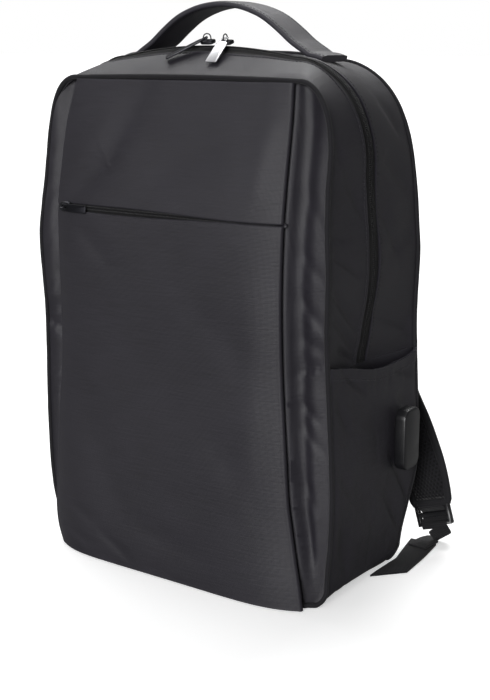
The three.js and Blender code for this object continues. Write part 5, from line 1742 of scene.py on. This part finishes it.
@dataclass
class ShoulderStraps:
    """Each shoulder strap: padded pad with bound edges, ladder buckle, webbing and the tab sewn at the base.

    Lengths in millimetres. tab holds the corners of the tab: shares of half the width, and of the depth.
    """

    finishes: Finishes
    form: BagForm = FORM
    pad_width: float = 58.0
    pad_thickness: float = 11.0
    foam_inset: float = 5.0
    foam_slack: float = 3.5
    voxel: float = 4.5
    swell_cap: float = 2.2
    binding_width: float = 7.0
    binding_thickness: float = 5.6
    webbing_width: float = 17.5
    webbing_thickness: float = 1.6
    lacing_width: float = 25.0
    lacing_rise: float = 3.2
    buckle_length: float = 20.0
    buckle_bevel: float = 0.6
    tab_thickness: float = 2.4
    tab_lift: float = 0.3
    pad_rows: tuple[StrapRow, ...] = (
        StrapRow(0.29, 0.085, 0.925, 0.86), StrapRow(0.3, 0.16, 0.895, 0.95), StrapRow(0.33, 0.24, 0.83),
        StrapRow(0.38, 0.3, 0.74), StrapRow(0.43, 0.325, 0.63), StrapRow(0.49, 0.32, 0.5),
        StrapRow(0.57, 0.3, 0.38), StrapRow(0.7, 0.275, 0.29), StrapRow(0.86, 0.245, 0.21),
        StrapRow(0.97, 0.22, 0.15, 0.95), StrapRow(1.02, 0.205, 0.115, 0.82), StrapRow(1.045, 0.2, 0.09, 0.64),
    )
    webbing_rows: tuple[StrapRow, ...] = (
        StrapRow(1.11, 0.235, 0.0165), StrapRow(1.08, 0.235, 0.0112), StrapRow(1.04, 0.18, 0.0094),
        StrapRow(1.03, 0.05, 0.0094),
    )
    tab: tuple[tuple[float, float], ...] = (
        (0.99, 0.54), (1.14, 0.715), (1.12, 0.98), (1.09, 1.2), (0.92, 1.19), (0.99, 0.86))

    def points(self, rows: Iterable[StrapRow], side: int) -> list[tuple[float, float, float]]:
        """The stations' points on one side."""
        form = self.form
        return [(side * r.across * form.half, form.depth / 2 + r.back * form.depth, r.height * form.height)
                for r in rows]

    def build(self) -> None:
        """Builds and dresses both straps."""
        for side, name in ((1, "right"), (-1, "left")):
            path = smooth_line(self.points(self.pad_rows, side), 120)
            tangent, across, out = frames_along(path, np.array([0.0, 1.0, 0.0]))
            shares = np.linspace(0, 1, len(self.pad_rows))
            wide = np.interp(np.linspace(0, 1, 120), shares, [r.wide for r in self.pad_rows])
            self.pad(name, path, across, out, wide)
            self.binding(name, path, across, out, wide)
            self.webbing(name, side, path[-1], tangent[-1])
            self.anchor(name, side)
            finished_solid(f"strap_buckle_{name}", self.finishes.plastic, self.buckle_bevel)
            self.threaded(name, path[-1], tangent[-1], out[-1])

    def threaded(self, name: str, end: np.ndarray, tangent: np.ndarray, out: np.ndarray) -> None:
        """Builds the webbing laced through the buckle: a cosine wave over its middle bar and under its outer bars.

        Args:
            name: right or left.
            end: the pad's last point.
            tangent: the pad's direction there.
            out: unit direction out there.
        """
        at = np.linspace(-2.0, self.buckle_length + 2.5, 60)
        wave = np.cos((at - 0.3 - self.buckle_length / 2) / self.buckle_length * 2 * np.pi)
        path = end + at[:, None] * tangent + (self.lacing_rise * wave)[:, None] * out
        _, sideways, up = frames_along(path, out)
        section = rounded_section(self.lacing_width, self.webbing_thickness, 0.7, 3)
        dress(tube(path, sideways, up, section).piece(f"strap_lacing_{name}"), self.finishes.webbing)

    def pad(self, name: str, path: np.ndarray, across: np.ndarray, out: np.ndarray, wide: np.ndarray) -> None:
        """Builds the pad and lets its foam swell by a cloth simulation.

        Args:
            name: right or left.
            path: the pad's middle line.
            across: unit direction across at each point.
            out: unit direction out at each point.
            wide: share of the full width at each point.
        """
        width = self.pad_width - self.foam_inset
        section = rounded_section(width, self.pad_thickness - self.foam_slack, 3.2, 4)
        shape = tube(path, across, out, section, wide)
        piece = shape.piece(f"strap_pad_{name}_foam")
        swell_foam(piece, self.voxel, self.swell_cap)
        self.lay_uv(piece, path, across)
        dress(piece, self.finishes.mesh, [f"strap_pad_{name}"])

    def lay_uv(self, piece: bpy.types.Object, path: np.ndarray, across: np.ndarray) -> None:
        """Gives each corner its distance across the pad and along it, from the nearest station of its path.

        Args:
            piece: the pad.
            path: its middle line.
            across: unit direction across at each point of the line.
        """
        mesh = piece.data
        places = vertex_places(mesh) / MM
        nearest = ((places[:, None] - path[None]) ** 2).sum(-1).argmin(1)
        offset = places - path[nearest]
        tangent = unit(np.gradient(path, axis=0))[nearest]
        u = (offset * across[nearest]).sum(-1)
        v = run_of(path)[nearest] + (offset * tangent).sum(-1)
        corners = np.empty(len(mesh.loops), np.int32)
        mesh.loops.foreach_get("vertex_index", corners)
        layer = mesh.uv_layers.get("cloth") or mesh.uv_layers.new(name="cloth")
        layer.data.foreach_set("uv", (np.stack([u, v], -1)[corners] * MM).astype(np.float32).ravel())

    def binding(self, name: str, path: np.ndarray, across: np.ndarray, out: np.ndarray, wide: np.ndarray) -> None:
        """Builds the tape folded round the pad's two long edges and its lower end, as one line.

        Args:
            name: right or left.
            path: the pad's middle line.
            across: unit direction across at each point.
            out: unit direction out at each point.
            wide: share of the full width at each point.
        """
        reach = (wide * (self.pad_width - self.foam_inset) / 2)[:, None]
        edges = np.concatenate([path + across * reach, (path - across * reach)[::-1]])
        line = respaced(edges, 300)
        outs = respaced(np.concatenate([path + out * 1000, (path + out * 1000)[::-1]]), 300)
        middle = respaced(np.concatenate([path, path[::-1]]), 300)
        _, sideways, up = frames_along(line, unit(outs - middle))
        section = rounded_section(self.binding_width, self.binding_thickness, 2.6, 4)
        shape = tube(line, sideways, up, section)
        dress(shape.piece(f"strap_binding_{name}"), self.finishes.binding)

    def webbing(self, name: str, side: int, end: np.ndarray, tangent: np.ndarray) -> None:
        """Builds the webbing from the buckle down to the anchor tab.

        Args:
            name: right or left.
            side: 1 on the right, -1 on the left.
            end: the pad's last point.
            tangent: the pad's direction there.
        """
        start = end + tangent * (self.buckle_length + 1.8)
        path = smooth_line([tuple(start)] + self.points(self.webbing_rows, side), 120)
        t = np.linspace(0, 1, 120)[:, None]
        wish = unit(np.concatenate([-side * np.maximum(1 - 2 * t, 0), 0 * t, 1 + 0 * t], 1))
        _, across, out = frames_along(path, wish)
        section = rounded_section(self.webbing_width, self.webbing_thickness, 0.7, 3)
        dress(tube(path, across, out, section).piece(f"strap_webbing_{name}_tape"), self.finishes.webbing,
              [f"strap_webbing_{name}"])

    def anchor(self, name: str, side: int) -> None:
        """Builds the doubled cloth tab that lies beside the base: rings from its middle to its edge, a little domed.

        Args:
            name: right or left.
            side: 1 on the right, -1 on the left.
        """
        form = self.form
        corners = np.array([(side * a * form.half, form.depth * (d - 0.5), 0.0) for a, d in self.tab])
        closed = np.concatenate([corners, corners[:1]])
        edge = respaced(closed, 181)[:-1]
        centre = edge.mean(0)
        t = np.linspace(0, 1, 14)[:, None, None]
        flat = centre + (edge - centre) * t
        dome = self.tab_lift + self.tab_thickness * (1 - 0.35 * t[..., 0] ** 6) + 0.3 * ripple(flat, 16, 91)
        top = flat[..., :2]
        upper = np.concatenate([top, np.broadcast_to(dome[..., None], top.shape[:2] + (1,))], -1)
        ring = upper[1:]
        sides = len(edge)
        under = np.array([0, 0, self.tab_lift])
        lower = flat[-1] * (1, 1, 0) + under
        points = np.concatenate([upper[0, :1], ring.reshape(-1, 3), lower, centre[None] + under])
        ids = 1 + np.arange(len(ring) * sides + sides).reshape(-1, sides)
        ids = np.concatenate([ids, ids[:, :1]], 1)
        bottom = len(points) - 1
        fan = np.stack([ids[0, 1:], ids[0, :-1], np.zeros(sides, int)], 1)
        base = np.stack([ids[-1, :-1], ids[-1, 1:], np.full(sides, bottom)], 1)
        faces = [quads_of(ids), np.concatenate([fan, base])]
        shape = Shape(points, faces, [points[f][..., :2] * MM for f in faces]).outward()
        dress(shape.piece(f"anchor_tab_{name}_cloth"), self.finishes.webbing, [f"anchor_tab_{name}"])


def swell_foam(piece: bpy.types.Object, voxel_mm: float, cap_mm: float) -> None:
    """Swells a padded piece by a short cloth simulation and lays the result into its mesh.

    The mesh is rebuilt in even faces, blown up under pressure for twenty frames without gravity, and no point
    ends further from its start than the cap. One level of subdivision then smooths it.

    Args:
        piece: the padded piece.
        voxel_mm: size of the even faces.
        cap_mm: furthest that a point may move.
    """
    scene = bpy.context.scene
    remesh = piece.modifiers.new("even faces", "REMESH")
    remesh.mode = "VOXEL"
    remesh.voxel_size = voxel_mm * MM
    bake_modifiers(piece)
    start = vertex_places(piece.data)
    cloth = piece.modifiers.new("foam", "CLOTH")
    cloth.settings.use_pressure = True
    cloth.settings.uniform_pressure_force = 4
    cloth.settings.effector_weights.gravity = 0
    cloth.point_cache.frame_start = 1
    cloth.point_cache.frame_end = 20
    for step in range(1, 21):
        scene.frame_set(step)
    bake_modifiers(piece)
    move = vertex_places(piece.data) - start
    length = np.linalg.norm(move, axis=1, keepdims=True)
    kept = start + move * np.minimum(1, cap_mm * MM / np.maximum(length, 1e-9))
    piece.data.vertices.foreach_set("co", kept.astype(np.float32).ravel())
    scene.frame_set(1)
    smooth = piece.modifiers.new("smooth", "SUBSURF")
    smooth.levels = smooth.render_levels = 1
    bake_modifiers(piece)
    piece.data.shade_smooth()


def vertex_places(mesh: bpy.types.Mesh) -> np.ndarray:
    """The places of a mesh's vertices.

    Args:
        mesh: the mesh.

    Returns:
        One point for each vertex.
    """
    flat = np.empty(len(mesh.vertices) * 3, np.float32)
    mesh.vertices.foreach_get("co", flat)
    return flat.reshape(-1, 3)


def bake_modifiers(piece: bpy.types.Object) -> None:
    """Replaces a piece's mesh by what its modifiers make of it, and removes them.

    Args:
        piece: the piece.
    """
    graph = bpy.context.evaluated_depsgraph_get()
    made = bpy.data.meshes.new_from_object(piece.evaluated_get(graph))
    piece.modifiers.clear()
    old, piece.data = piece.data, made
    bpy.data.meshes.remove(old)
    piece.data.name = piece.name


@dataclass
class HardParts:
    """Sliders, pulls, charging port and its socket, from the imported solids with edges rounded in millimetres."""

    finishes: Finishes
    zip_bevel: float = 0.3
    housing_bevel: float = 0.5
    socket_bevel: float = 0.1

    def build(self) -> None:
        """Builds and dresses every hard part."""
        made = self.finishes
        for node, finish, bevel, body in (
            ("zip_slider_main_1", made.smoked, self.zip_bevel, Body.BAG),
            ("zip_slider_main_2", made.smoked, self.zip_bevel, Body.BAG),
            ("zip_slider_front", made.smoked, self.zip_bevel, Body.BAG),
            ("zip_pull_main_1", made.gunmetal, self.zip_bevel, Body.PULL_MAIN_1),
            ("zip_pull_main_2", made.steel, self.zip_bevel, Body.PULL_MAIN_2),
            ("zip_pull_front", made.gunmetal, self.zip_bevel, Body.PULL_FRONT),
            ("usb_housing", made.plastic, self.housing_bevel, Body.BAG),
            ("usb_socket", made.socket, self.socket_bevel, Body.BAG),
        ):
            finished_solid(node, finish, bevel, body)


@dataclass(frozen=True)
class SoftLight:
    """A wide soft light. azimuth runs from the front towards the right, elevation up from the horizon."""

    name: str
    azimuth_deg: float
    elevation_deg: float
    strength: float
    width_deg: float


@dataclass
class Studio:
    """Camera, lights, white surroundings and a pale floor. The camera's place and the floor's half are in metres."""

    place: tuple[float, float, float] = (0.622, -0.860, 0.4334)
    down_deg: float = 13.6
    round_deg: float = 35.0
    lens_mm: float = 65.0
    sensor_mm: float = 36.0
    floor_half: float = 40.0
    floor_glow: float = 0.45
    ambient: float = 0.16
    lights: tuple[SoftLight, ...] = (
        SoftLight("key_from_front", 14, 12, 2.7, 28),
        SoftLight("light_from_behind", 200, 50, 1.5, 30),
        SoftLight("light_from_left", -110, 55, 1.2, 35),
        SoftLight("light_from_above", 0, 80, 0.3, 45),
    )

    def build(self) -> None:
        """Makes the camera, the lights and the floor."""
        self.camera()
        for light in self.lights:
            self.light_up(light)
        self.world()
        self.floor()
        bpy.context.scene.view_settings.view_transform = "Standard"

    def camera(self) -> None:
        """Sets the camera at the height and angle of the photograph."""
        data = bpy.data.cameras.new("camera")
        data.lens = self.lens_mm
        data.sensor_width = self.sensor_mm
        camera = bpy.data.objects.new("camera", data)
        camera.location = self.place
        camera.rotation_euler = (math.radians(90 - self.down_deg), 0, math.radians(self.round_deg))
        bpy.context.scene.collection.objects.link(camera)
        bpy.context.scene.camera = camera

    def light_up(self, light: SoftLight) -> None:
        """Adds one of the lights.

        Args:
            light: its place, strength and width.
        """
        data = bpy.data.lights.new(light.name, "SUN")
        data.energy = light.strength
        data.angle = math.radians(light.width_deg)
        lamp = bpy.data.objects.new(light.name, data)
        lamp.rotation_euler = (math.radians(90 - light.elevation_deg), 0, math.radians(light.azimuth_deg))
        bpy.context.scene.collection.objects.link(lamp)

    def world(self) -> None:
        """White to the camera and softly dimmer to the object, as a studio's walls are."""
        world = bpy.data.worlds.new("studio")
        world.use_nodes = True
        bpy.context.scene.world = world
        tree = world.node_tree
        tree.nodes.clear()
        seen = add_node(tree, "ShaderNodeLightPath").outputs["Is Camera Ray"]
        strength = weighted(tree, self.ambient, [(seen, 1 - self.ambient)])
        back = add_node(tree, "ShaderNodeBackground", {"Color": (1, 1, 1, 1), "Strength": strength})
        add_node(tree, "ShaderNodeOutputWorld", {"Surface": back.outputs[0]})

    def floor(self) -> None:
        """A plain pale floor, wide enough to reach the horizon."""
        half = self.floor_half
        mesh = bpy.data.meshes.new("floor")
        corners = [(-half, -half, 0), (half, -half, 0), (half, half, 0), (-half, half, 0)]
        mesh.from_pydata(corners, [], [(0, 1, 2, 3)])
        floor = bpy.data.objects.new("floor", mesh)
        bpy.context.scene.collection.objects.link(floor)
        material, tree, shader = blank_material("pale_paper_floor")
        place = add_node(tree, "ShaderNodeTexCoord").outputs["Object"]
        grain = add_node(tree, "ShaderNodeTexNoise", {"Vector": place, "Scale": 40.0, "Detail": 2.0})
        seen = add_node(tree, "ShaderNodeLightPath").outputs["Is Camera Ray"]
        tone = weighted(tree, 0.0, [(seen, 0.97), (grain.outputs["Fac"], 0.03)])
        tree.links.new(two_tone(tree, tone, "#7c7c7c", "#f6f6f6"), shader.inputs["Base Color"])
        tree.links.new(weighted(tree, 0.0, [(seen, self.floor_glow)]), shader.inputs["Emission Strength"])
        shader.inputs["Emission Color"].default_value = (1.0, 1.0, 1.0, 1.0)
        shader.inputs["Roughness"].default_value = 0.9
        mesh.materials.append(material)


def main() -> None:
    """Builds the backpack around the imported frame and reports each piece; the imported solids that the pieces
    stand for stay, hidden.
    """
    logging.basicConfig(level=logging.INFO, format="%(message)s")
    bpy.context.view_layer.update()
    Studio().build()
    finishes = Finishes()
    bands = SideBands(finishes)
    assemblies = (FrontPanels(finishes), bands, MainZip(finishes, bands), Pipings(finishes),
                  BackPanel(finishes), Handle(finishes), SidePockets(finishes), ShoulderStraps(finishes),
                  HardParts(finishes))
    for assembly in assemblies:
        assembly.build()
        log.info("%s done", type(assembly).__name__)


if __name__ == "__main__":
    main()
